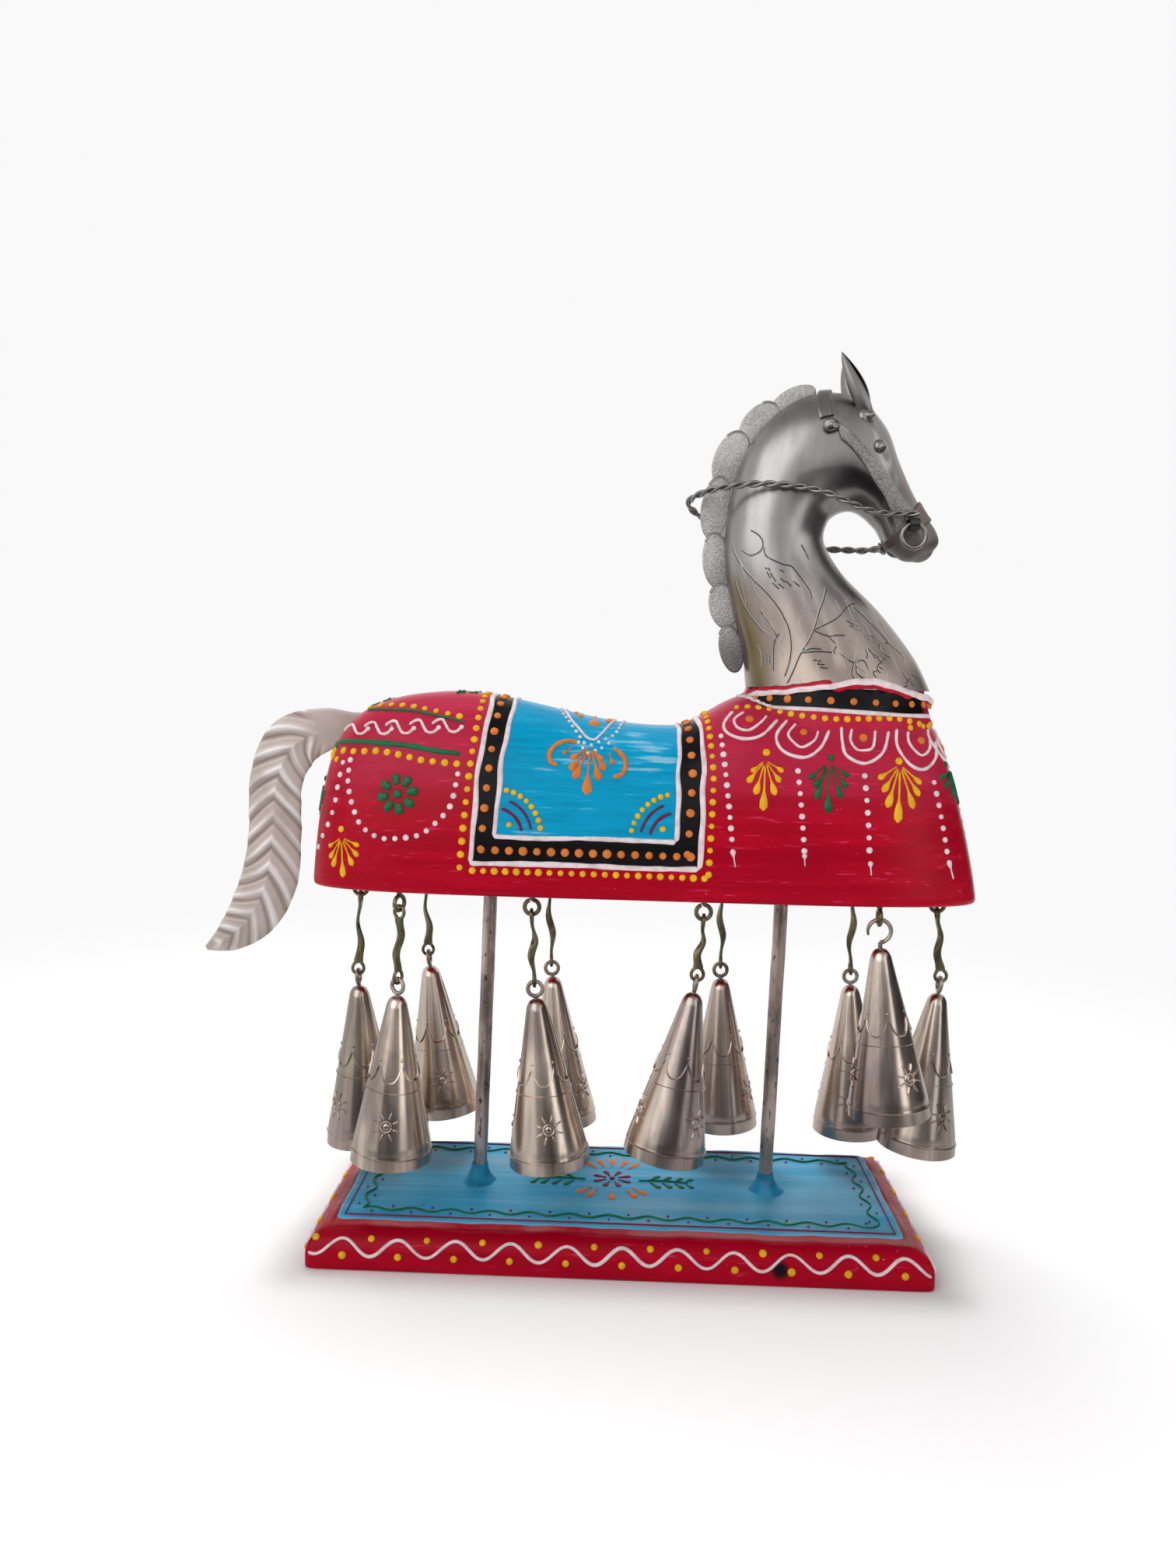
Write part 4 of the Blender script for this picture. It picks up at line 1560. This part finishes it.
def bell_top(k):
    """Depth of a bell's top below the place that it hangs on."""
    if HANGS[k].link:
        return HANG_DROP + 2 * EYE_R + WIRE_R + LOOP_NECK
    return 2 * HOOK_R - WIRE_R - HANG_GAP + HOOK_NECK


def bell_reach(depth):
    """Outer radius of a bell at a depth below its top: a cone, then an almost upright rim."""
    return np.interp(depth, [0, BELL_H - BELL_RIM_H, BELL_H], [BELL_TOP_R, BELL_R - BELL_FLARE, BELL_R])


def bell_shell(k, spin, chance):
    """A rolled cone: its radius eases out from the seam round, so the sheet's edge stands as a step."""
    a = circle(120)[None, :]
    rim = BELL_H - BELL_RIM_H
    outer = np.r_[0.0, 0.7, np.linspace(1.6, rim, 46), np.linspace(rim + 0.5, BELL_H - 0.25, 9), BELL_H]
    inner = np.linspace(BELL_H - 0.25, CAP_T + 0.4, 24)
    depth = np.concatenate([[0.0], outer, inner])[:, None]
    hole = 0.86 - BELL_TOP_R
    wall = np.concatenate([[hole], np.zeros(len(outer)), np.full(len(inner), -BELL_T)])[:, None]
    # the pinched top, and the rounded edge of the mouth
    wall[1:4, 0] = -1.7, -0.75, -0.3
    wall[len(outer)] = -BELL_T / 2
    share = depth / BELL_H
    lap_step = 0.24 * (1 - a / (2 * np.pi)) ** 3 * ease(share * 6)
    p = chance.uniform(0, 6, 5)
    dents = (0.16 * np.sin(2 * a + p[0]) + 0.1 * np.sin(3 * a + 2.2 * share + p[1])
             + 0.07 * np.sin(5 * a - 4 * share + p[2]) + 0.05 * np.sin(9 * share + p[3] + a)) * share
    groove = -0.16 * hump(depth, rim + 0.2, 0.5)
    reach = bell_reach(depth) + wall + np.where(wall <= hole, 0, lap_step + dents + groove)
    b = a + np.radians(spin)
    return closed_skin(xyz(reach * np.cos(b), reach * np.sin(b), -depth - bell_top(k)))


def bell_stamps(k, spin, stamp):
    """Lines stamped in a bell: two rings, a row of hanging arcs with dots between them, and three suns."""

    def on_bell(angle, depth, lift=0.1):
        a = np.radians(angle + spin)
        reach = bell_reach(depth) + lift
        points = xyz(reach * np.cos(a), reach * np.sin(a), -depth - bell_top(k))
        return points, unit(np.broadcast_to(xyz(np.cos(a), np.sin(a), 0.2), points.shape))

    ring = np.linspace(0, 361, 100)
    parts = [bead(*on_bell(ring, depth + 0.35 * np.sin(np.radians(ring * 2)), 0.12), width, stamp)
             for depth, width in zip(RING_DEPTHS, (0.3, 0.42))]
    t = np.linspace(-1, 1, 24)
    starts = np.arange(6) * 60
    arcs = on_bell(starts[:, None] + 28 * t, ARC_DEPTH - 6.0 * np.abs(t) ** 2.6, 0.12)
    parts.append(beads(*arcs, 0.66, stamp * 1.3))
    parts.append(domes(*on_bell(starts + 30.0, DOT_DEPTH), 0.62, 0.36, 8))
    wide = np.degrees(1 / bell_reach(SUN_DEPTH))
    for sun in (0, 120, 240):
        a = np.radians(np.linspace(0, 362, 26))
        rim = on_bell(sun + 1.9 * wide * np.cos(a), SUN_DEPTH + 1.9 * np.sin(a))
        parts.append(bead(*rim, 0.7, stamp * 1.3))
        a = np.radians(np.arange(8) * 45 + 20)[:, None]
        reach = np.linspace(2.5, 5.6, 8)[None, :]
        rays = on_bell(sun + reach * wide * np.cos(a), SUN_DEPTH + reach * np.sin(a))
        parts.append(beads(*rays, 0.8 * np.linspace(1.2, 0.6, 8)[None, :], stamp * 1.3))
        parts.append(domes(*on_bell(np.array([sun]), SUN_DEPTH, -0.1), 1.2, 0.24))
    return parts


def ring_of(radius, a, height):
    """Points at angles on an upright ring, its middle at a height."""
    return xyz(radius * np.cos(a), 0, radius * np.sin(a) + height)


def hanger(k):
    """The bell's wire: a loop or an open hook above, a shank through the top and a small loop inside."""
    if HANGS[k].link:
        bow = tube(ring_of(EYE_R, circle(48), -HANG_DROP - EYE_R), WIRE_R, closed=True)
        rise = LOOP_NECK + WIRE_R
    else:
        a = np.radians(np.linspace(-90, 195, 60))
        thin = np.interp(a, a[[0, -12, -1]], [1, 1, 0.55])
        bow = tube(ring_of(HOOK_R, a, 2 * WIRE_R + HANG_GAP - HOOK_R), WIRE_R * thin)
        rise = HOOK_NECK + WIRE_R
    z = np.linspace(rise, -3, 12) - bell_top(k)
    shank = tube(xyz(0, 0, z), WIRE_R * (1 + 0.08 * np.sin(z * 3)))
    low = CAP_T + LOOP_NECK + INNER_WIRE_R + INNER_R + bell_top(k)
    loop = tube(ring_of(INNER_R, circle(36), -low), INNER_WIRE_R, 10, closed=True)
    return [bell_frame(k, part) for part in (bow, shank, loop)]


def boxy(value):
    """A sine or cosine drawn out towards the corners, for a rounded strip."""
    return np.sign(value) * np.abs(value) ** 0.6


def link(k):
    """A strip link: two flattened eyes, and between them a rounded strip that turns and sways going down."""
    hang = HANGS[k]
    middle = BORE_R + LINK_WALL / 2
    parts = []
    a = circle(44)[:, None]
    b = circle(12)[None, :]
    reach = middle + LINK_WALL / 2 * np.cos(b)
    for drop, spin, up in ((0, 0, 1), (hang.link, hang.twist, -1)):
        tall = np.where(up * np.sin(a) < 0, 1 + 0.22 * np.sin(a) ** 2, 1.0)
        ring = xyz(LINK_T / 2 * np.sin(b), reach * np.cos(a), reach * np.sin(a) * tall)
        points, faces = skin(ring, around=True, lengthways=True)
        parts.append((turned(points, "z", spin) - [0, 0, drop], faces))
    z = np.linspace(-middle - 0.3, middle + 0.3 - hang.link, 64)[:, None]
    share = (z - z[0]) / (z[-1] - z[0])
    angle = np.radians((hang.twist - 180) * ease(share))
    sway = (1.1 if k % 2 else -1.1) * np.sin(2 * np.pi * share) * np.sin(np.pi * share)
    wide = LINK_W / 2 * (1 + 0.25 * (hump(share, 0, 0.12) + hump(share, 1, 0.12)))
    b = circle(16)[None, :]
    u = LINK_T / 2 * boxy(np.cos(b))
    v = wide * boxy(np.sin(b))
    strip = xyz(u * np.cos(angle) - v * np.sin(angle), u * np.sin(angle) + v * np.cos(angle), z)
    parts.append(closed_skin(strip + turned([1.0, 0, 0], "z", -hang.turn) * sway[..., None]))
    origin = np.array([hang.x, hang.y, EYE_WIRE_Z - HANG_DROP])
    return [(turned(turned(points, "z", hang.turn), "y", -hang.lean) + origin, faces)
            for points, faces in parts]


def screw_eye(k):
    """A wire that comes down out of the belly and turns round almost to itself."""
    hang = HANGS[k]
    ring = ring_of(EYE_R, np.radians(np.linspace(90, 90 - 342, 60)), 0)
    shank = xyz(0, 0, np.linspace(EYE_R + 8, EYE_R + 0.5, 12))
    eye = tube(curve(np.concatenate([shank, ring[2:]]), 110), WIRE_R)
    z = np.linspace(EYE_R + EYE_NECK + WIRE_R + 0.5, EYE_R + 0.2, 8)
    collar = tube(xyz(0, 0, z), WIRE_R * np.linspace(1.9, 1.1, 8), 14)
    origin = np.array([hang.x, hang.y, EYE_WIRE_Z + EYE_R])
    return [(turned(points, "z", hang.turn) + origin, faces) for points, faces in (eye, collar)]


# Operators, one for each piece or group of like pieces


def lay_paint(brush, prefix, paints):
    """Lays what a brush holds as one piece for each colour."""
    for paint, parts in sorted(brush.parts.items()):
        material = finish(f"{paint}_bead", raised_paint, getattr(paints, paint))
        lay(f"{prefix}_{paint}", parts, material)


def shaded(tint, share):
    """A tint made darker or lighter by a share."""
    return [min(1, share * part) for part in tint]


class HORSE_OT_base(bpy.types.Operator):
    """Builds the moulded base board and its painted ornament"""

    bl_idname = "horse.base"
    bl_label = "Base board"

    def execute(self, context):
        paints, sizes = context.scene.horse_paints, context.scene.horse_sizes
        part, values = board()
        enamelled = finish("board_enamel", board_paint, paints)
        lay("base_wood", [part], enamelled, ["base_board"], values)
        brush = Brush(None, sizes)
        paint_board(brush, sizes.wave / MM)
        lay_paint(brush, "base", paints)
        return {"FINISHED"}


class HORSE_OT_posts(bpy.types.Operator):
    """Builds the two posts and the filler round their feet"""

    bl_idname = "horse.posts"
    bl_label = "Posts"

    def execute(self, context):
        paints = context.scene.horse_paints
        rod = finish("rod_metal", old_metal, paints.rod, ROD_SPECK, 0.28)
        for x, node, seed in zip(POSTS, ("rear_post", "front_post"), (4, 9)):
            lay(f"{node}_rod", [post(x, seed)], rod, [node])
        rings = [post_paint(x, drop) for x, drop in zip(POSTS, (1.5, 5.0))]
        lay("post_paint", rings, finish("red_bead", raised_paint, paints.red))
        cones = [filler_cone(x, seed) for x, seed in zip(POSTS, (1, 2))]
        blue = finish("filler_paint", filler, paints.blue)
        lay("filler_cones", cones, blue, ["post_putty"])
        return {"FINISHED"}


class HORSE_OT_body(bpy.types.Operator):
    """Builds the wooden body and all that is painted on it"""

    bl_idname = "horse.body"
    bl_label = "Wooden body"

    def execute(self, context):
        paints, sizes = context.scene.horse_paints, context.scene.horse_sizes
        hide = Hide()
        values = {}
        for key, inner in (("saddle", False), ("cloth", True)):
            rear, fore, low = saddle_edges(hide.low, inner)
            distance = np.minimum(np.minimum(hide.station - rear, fore - hide.station), hide.low - low)
            values[key] = hide.spread(distance)
        x, y, z = np.moveaxis(hide.points, -1, 0)
        ahead = x - COLLAR[0]
        wide = CONE_SLOPE * (COLLAR[2] - z)
        out = np.sqrt((ahead / (COLLAR_L / 2 + wide)) ** 2 + (y / (COLLAR_W / 2 + wide)) ** 2)
        under = collar_top(np.degrees(np.arctan2(y / (COLLAR_W / 2), ahead / (COLLAR_L / 2)))) - z
        band = np.minimum(np.minimum(z - collar_line(ahead), under), 30 * (1.09 - out))
        values["collar"] = hide.spread(band)
        enamelled = finish("body_enamel", red_paint, paints)
        lay("horse_wood", [closed_skin(hide.closed())], enamelled, ["horse_body"], values)
        brush = Brush(hide, sizes)
        paint_saddle(brush)
        paint_rump(brush)
        paint_collar(brush)
        paint_chest(brush)
        lay_paint(brush, "body", paints)
        return {"FINISHED"}


class HORSE_OT_tail(bpy.types.Operator):
    """Builds the pleated tail"""

    bl_idname = "horse.tail"
    bl_label = "Tail"

    def execute(self, context):
        part, values = tail_sheet(context.scene.horse_sizes.pleat / MM)
        metal = finish("tail_metal", pressed_metal, context.scene.horse_paints.tail)
        lay("tail_sheet", [part], metal, ["tail_plate"], values)
        return {"FINISHED"}


class HORSE_OT_head(bpy.types.Operator):
    """Builds the two halves of the head, the mane, the ears, the eyes and the scribed lines"""

    bl_idname = "horse.head"
    bl_label = "Head"

    def execute(self, context):
        paints = context.scene.horse_paints
        nickel = paints.nickel
        metal = finish("head_sheet", head_metal, nickel)
        for side, name in ((-1, "right"), (1, "left")):
            part, values = head_half(side)
            lay(f"head_{name}", [part], metal, [f"head_shell_{name}"], values)
        sand = finish("mane_metal", sandy_metal, shaded(nickel, 1.25), 0.34)
        plates, rims, creases = zip(*(mane_scallop(index) for index in range(len(MANE))))
        lay("mane", [mane_strip(), *plates], sand, ["mane_plate"])
        bright = finish("burr_metal", sheet_metal, shaded(nickel, 1.5), BURR_STAIN, 0.3)
        lay("mane_rims", sum(rims[:-1], []), bright)
        lay("mane_creases", sum(creases[:-1], []), finish("crease_metal", scribed, CREASE))
        leaf = finish("ear_metal", sheet_metal, shaded(nickel, 0.72), EAR_STAIN, 0.3)
        lay("ear_leaves", [ear(-1), ear(1)], leaf, ["ears"])
        dark = finish("scribed_metal", scribed, SCRATCH)
        lay("eye_bosses", [blob(side, *row) for side in (-1, 1) for row in EYES], metal, ["eyes"])
        lay("pupils", [blob(side, *row) for side in (-1, 1) for row in PUPILS], dark)
        lines, burrs = [], []
        for side in (-1, 1):
            for places in [*SCRIBED, *cracks(24, (0.15, 1.5), (88, 150), 0.1)]:
                s, angle = curve(places, 10 + 8 * len(places)).T
                points = head_point(s, angle, 0.0, side, True)
                normals = head_normal(s, angle, side)
                lines.append(bead(points, normals, 0.42, 0.09))
                beside = unit(np.cross(np.gradient(points, axis=0), normals)) * side
                burrs.append(bead(points + 0.38 * beside, normals, 0.36, 0.14))
            for places in cracks(46, (0.25, 3.4), (30, 150), 0.32):
                s, angle = curve(places, 16).T
                points = head_point(s, angle, 0.0, side, True)
                burrs.append(bead(points, head_normal(s, angle, side), 0.26, 0.1))
        lay("scribed_lines", lines, dark)
        lay("scribed_burrs", burrs, bright)
        recoat("neck_plug", finish("plug_wood", bare_wood, paints.wood))
        return {"FINISHED"}


class HORSE_OT_bridle(bpy.types.Operator):
    """Builds the straps, rosettes, bit rings and the twisted rein"""

    bl_idname = "horse.bridle"
    bl_label = "Bridle"

    def execute(self, context):
        nickel = context.scene.horse_paints.nickel
        metal = finish("strap_metal", sheet_metal, shaded(nickel, 0.86), STRAP_STAIN, 0.26)
        knurled = finish("knurled_metal", sandy_metal, shaded(nickel, 0.9), 0.3)
        angle = np.linspace(-60, 60, 60)
        row = 8.1 - 0.38 * ease(np.abs(angle) / 66)
        crown = strap(row, angle, rows=strap_reach(CROWN_W, row, np.abs(angle), 0) / 2)
        lay("crown_band", [crown], metal, ["crown_strap"])
        s, angle = curve(CHEEK, 150).T
        half = strap_reach(CHEEK_W, s, angle, 1) / 2
        cheeks = [strap(s, angle, degrees=half, side=side, knurl=0.1) for side in (-1, 1)]
        lay("cheek_bands", cheeks, knurled, ["cheek_straps"])
        blobs = [blob(side, row, turn, BAND_PLAY + BAND_T, radius, rise, seed + side, rough)
                 for side, rows in ((-1, ROSETTES), (1, (*ROSETTES, CHIN)))
                 for row, turn, radius, rise, seed, rough in rows]
        lay("solder_blobs", blobs, metal, ["strap_rosettes"])
        turn = np.linspace(0, 360, 120, endpoint=False)
        nose = strap(NOSE_ROW, turn, rows=strap_reach(NOSE_W, NOSE_ROW, 90.0, 0) / 2, closed=True)
        dull = finish("dull_metal", sheet_metal, NOSE_DULL, NOSE_STAIN, 0.46)
        lay("nose_band", [nose], dull, ["noseband"])
        recoat("bit_tabs", finish("tab_metal", sheet_metal, shaded(nickel, 0.22), TAB_STAIN, 0.36))
        a = circle(72)
        for name in ("right", "left"):
            low, high = (np.array(v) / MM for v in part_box(f"bit_ring_{name}"))
            ring = (low + high) / 2 + ring_of((high[0] - low[0]) / 2 - RING_R, a, 0)
            wire = tube(ring, 0.88 + 0.03 * np.sin(5 * a), 14, closed=True)
            lay(f"ring_{name}", [wire], metal, [f"bit_ring_{name}"], body=f"{name}_bit_ring")
        lay("rein_strands", list(rein_strands()), metal, ["rein_wire"])
        return {"FINISHED"}


class HORSE_OT_hangers(bpy.types.Operator):
    """Builds the screw eyes under the belly and the strip links"""

    bl_idname = "horse.hangers"
    bl_label = "Hangers"

    def execute(self, context):
        brass = finish("old_brass", old_metal, context.scene.horse_paints.brass, BRASS_SPECK, 0.3)
        eyes = [part for k in range(len(HANGS)) for part in screw_eye(k)]
        lay("eyes_of_wire", eyes, brass, ["screw_eyes"])
        for k, hang in enumerate(HANGS):
            number = k + 1
            if hang.link:
                lay(f"link_strip_{number}", link(k), brass, [f"bell_link_{number}"], body=f"link_{number}")
            recoat(f"clapper_{number}", brass)
        return {"FINISHED"}


class HORSE_OT_bells(bpy.types.Operator):
    """Builds the ten cone bells with their stamped lines and wire loops"""

    bl_idname = "horse.bells"
    bl_label = "Bells"

    def execute(self, context):
        paints, sizes = context.scene.horse_paints, context.scene.horse_sizes
        metal = finish("bell_sheet", rolled_metal, paints.bell)
        wire = finish("loop_metal", old_metal, shaded(paints.bell, 0.75), LOOP_SPECK, 0.28)
        chance = np.random.default_rng(21)
        for k in range(len(HANGS)):
            number = k + 1
            body = f"hung_bell_{number}"
            front = 270 - bell_spin(k) + SUNS[k]
            parts = [bell_shell(k, front + 75, chance), *bell_stamps(k, front, sizes.stamp / MM)]
            parts = [bell_frame(k, part) for part in parts]
            lay(f"bell_cone_{number}", parts, metal, [f"bell_{number}"], body=body)
            lay(f"bell_loop_{number}", hanger(k), wire, [f"bell_hanger_{number}"], body=body)
        return {"FINISHED"}


class HORSE_OT_stage(bpy.types.Operator):
    """Builds the floor, the lights, the world and the camera"""

    bl_idname = "horse.stage"
    bl_label = "Stage"

    def execute(self, context):
        scene = context.scene
        scene.view_settings.view_transform = "Standard"
        self.floor()
        self.world(scene)
        self.lamp("key", (-0.75, -1.05, 0.95), (0.0, 0.0, 0.17), 1.4, 9.0)
        self.lamp("fill", (0.95, -0.75, 0.45), (0.0, 0.0, 0.15), 0.8, 2.0)
        self.lamp("top", (-0.1, 0.35, 1.1), (0.0, 0.0, 0.15), 0.6, 6.0).visible_glossy = False
        for name, *corners in (
                ("card_side", (0.6, -0.5, 0.0), (0.6, 0.45, 0.0), (0.6, 0.45, 0.45), (0.6, -0.5, 0.45)),
                ("card_front", (-0.8, -1.35, 0.0), (0.8, -1.35, 0.0), (0.8, -1.35, 0.3), (-0.8, -1.35, 0.3)),
                ("card_low", (-0.7, -1.7, 0.003), (0.7, -1.7, 0.003), (0.6, -0.2, 0.003),
                 (-0.5, -0.2, 0.003))):
            self.card(name, corners)
        self.camera(scene)
        return {"FINISHED"}

    def sheet(self, name, corners, material):
        """A four-sided sheet of the stage."""
        mesh = bpy.data.meshes.new(name)
        mesh.from_pydata(corners, [], [(0, 1, 2, 3)])
        mesh.materials.append(material)
        piece = bpy.data.objects.new(name, mesh)
        bpy.context.scene.collection.objects.link(piece)
        return piece

    def floor(self):
        """A pale floor that fades to plain white away from the object and keeps its shadow."""
        made = bpy.data.materials.new("floor")
        made.use_nodes = True
        made.node_tree.nodes.clear()
        wire = Wire(made.node_tree)
        far = wire.place().vector("LENGTH", out="Value").step(0.2, 0.8)
        seen = wire.node("ShaderNodeLightPath", out="Is Camera Ray")
        outside = wire.place().vector("ABSOLUTE").vector("SUBTRACT", (BASE_X * MM, BASE_Y * MM, 0))
        near_board = outside.vector("MAXIMUM").vector("LENGTH", out="Value")
        matt = wire.node("ShaderNodeBsdfDiffuse", {}, {"Color": rgba(FLOOR_PALE)})
        glow = wire.node("ShaderNodeEmission", {},
                         {"Color": (1, 1, 1, 1), "Strength": seen * 0.37 * near_board.step(-0.006, 0.022)})
        near = wire.node("ShaderNodeAddShader", {}, {0: matt, 1: glow})
        plain = wire.node("ShaderNodeEmission", {}, {"Color": rgba(FLOOR_FAR), "Strength": 1.0})
        mixed = wire.node("ShaderNodeMixShader", {}, {0: far, 1: near, 2: plain})
        wire.node("ShaderNodeOutputMaterial", {}, {"Surface": mixed})
        corners = ((-30, -30), (30, -30), (30, 30), (-30, 30))
        self.sheet("floor", [(x, y, -0.0001) for x, y in corners], made)

    def world(self, scene):
        """Pale to the camera, paler low than high in reflections, and a softer light on everything else."""
        world = bpy.data.worlds.new("studio")
        scene.world = world
        world.use_nodes = True
        world.node_tree.nodes.clear()
        wire = Wire(world.node_tree)
        seen = wire.node("ShaderNodeLightPath", out="Is Camera Ray")
        rays = seen.socket.node.outputs
        shown = seen + Wire(wire.tree, rays["Is Glossy Ray"]) + Wire(wire.tree, rays["Is Transmission Ray"])
        lift = wire.node("ShaderNodeTexCoord", out="Generated").part(2)
        strength = 0.945 - (1 - seen) * lift.step(0.45, 0.95) * 0.5
        soft = wire.node("ShaderNodeBackground", {}, {"Color": (1, 1, 1, 1), "Strength": 0.22})
        pale = wire.node("ShaderNodeBackground", {}, {"Color": (1, 1, 1, 1), "Strength": strength})
        mixed = wire.node("ShaderNodeMixShader", {}, {0: shown, 1: soft, 2: pale})
        wire.node("ShaderNodeOutputWorld", {}, {"Surface": mixed})

    def lamp(self, name, place, target, size, power):
        """A square soft light aimed at a point."""
        light = bpy.data.lights.new(name, "AREA")
        light.size = size
        light.energy = power
        lamp = bpy.data.objects.new(name, light)
        lamp.location = place
        way = np.array(target) - np.array(place)
        lamp.rotation_euler = (np.arctan2(np.hypot(way[0], way[1]), -way[2]), 0, np.arctan2(-way[0], way[1]))
        bpy.context.scene.collection.objects.link(lamp)
        return lamp

    def card(self, name, corners):
        """A dark card for the metal to mirror, which neither shows nor shades."""
        made = bpy.data.materials.new(name)
        made.use_nodes = True
        made.node_tree.nodes["Principled BSDF"].inputs["Base Color"].default_value = rgba(CARD_DARK)
        piece = self.sheet(name, corners, made)
        piece.visible_camera = False
        piece.visible_shadow = False
        piece.visible_diffuse = False

    def camera(self, scene):
        """The camera of the picture: fitted place, yaw, pitch and roll, for a frame of 1512 by 2016."""
        yaw, pitch, roll = CAMERA_TURNS
        way = np.array([-np.sin(yaw) * np.cos(pitch), np.cos(yaw) * np.cos(pitch), -np.sin(pitch)])
        right = np.array([np.cos(yaw), np.sin(yaw), 0.0])
        up = np.cross(right, way)
        x = np.cos(roll) * right + np.sin(roll) * up
        y = -np.sin(roll) * right + np.cos(roll) * up
        data = bpy.data.cameras.new("camera")
        data.sensor_width = SENSOR
        data.lens = SENSOR * FOCAL_PIXELS / PICTURE_PIXELS
        data.clip_start = 0.01
        camera = bpy.data.objects.new("camera", data)
        matrix = np.eye(4)
        matrix[:3, 0], matrix[:3, 1], matrix[:3, 2] = x, y, -way
        matrix[:3, 3] = np.array(CAMERA_PLACE) * MM
        camera.matrix_world = Matrix(matrix.tolist())
        scene.collection.objects.link(camera)
        scene.camera = camera


class HORSE_PT_panel(bpy.types.Panel):
    """Lists the steps and the settings of the painted horse."""

    bl_idname = "HORSE_PT_panel"
    bl_label = "Painted horse"
    bl_space_type = "VIEW_3D"
    bl_region_type = "UI"
    bl_category = "Horse"

    def draw(self, context):
        for step in STEPS:
            self.layout.operator(step.bl_idname)
        for group in (context.scene.horse_paints, context.scene.horse_sizes):
            for name in group.bl_rna.properties.keys():
                if name not in {"rna_type", "name"}:
                    self.layout.prop(group, name)


STEPS = (HORSE_OT_stage, HORSE_OT_base, HORSE_OT_posts, HORSE_OT_body, HORSE_OT_tail, HORSE_OT_head,
         HORSE_OT_bridle, HORSE_OT_hangers, HORSE_OT_bells)
CLASSES = (HorsePaints, HorseSizes, *STEPS, HORSE_PT_panel)


def register():
    """Registers the classes and hangs the settings on the scene."""
    for made in CLASSES:
        bpy.utils.register_class(made)
    bpy.types.Scene.horse_paints = bpy.props.PointerProperty(type=HorsePaints)
    bpy.types.Scene.horse_sizes = bpy.props.PointerProperty(type=HorseSizes)


def unregister():
    """Takes the settings off the scene and the classes out."""
    del bpy.types.Scene.horse_sizes
    del bpy.types.Scene.horse_paints
    for made in reversed(CLASSES):
        bpy.utils.unregister_class(made)


def main():
    register()
    for step in STEPS:
        group, name = step.bl_idname.split(".")
        getattr(getattr(bpy.ops, group), name)()


if __name__ == "__main__":
    main()
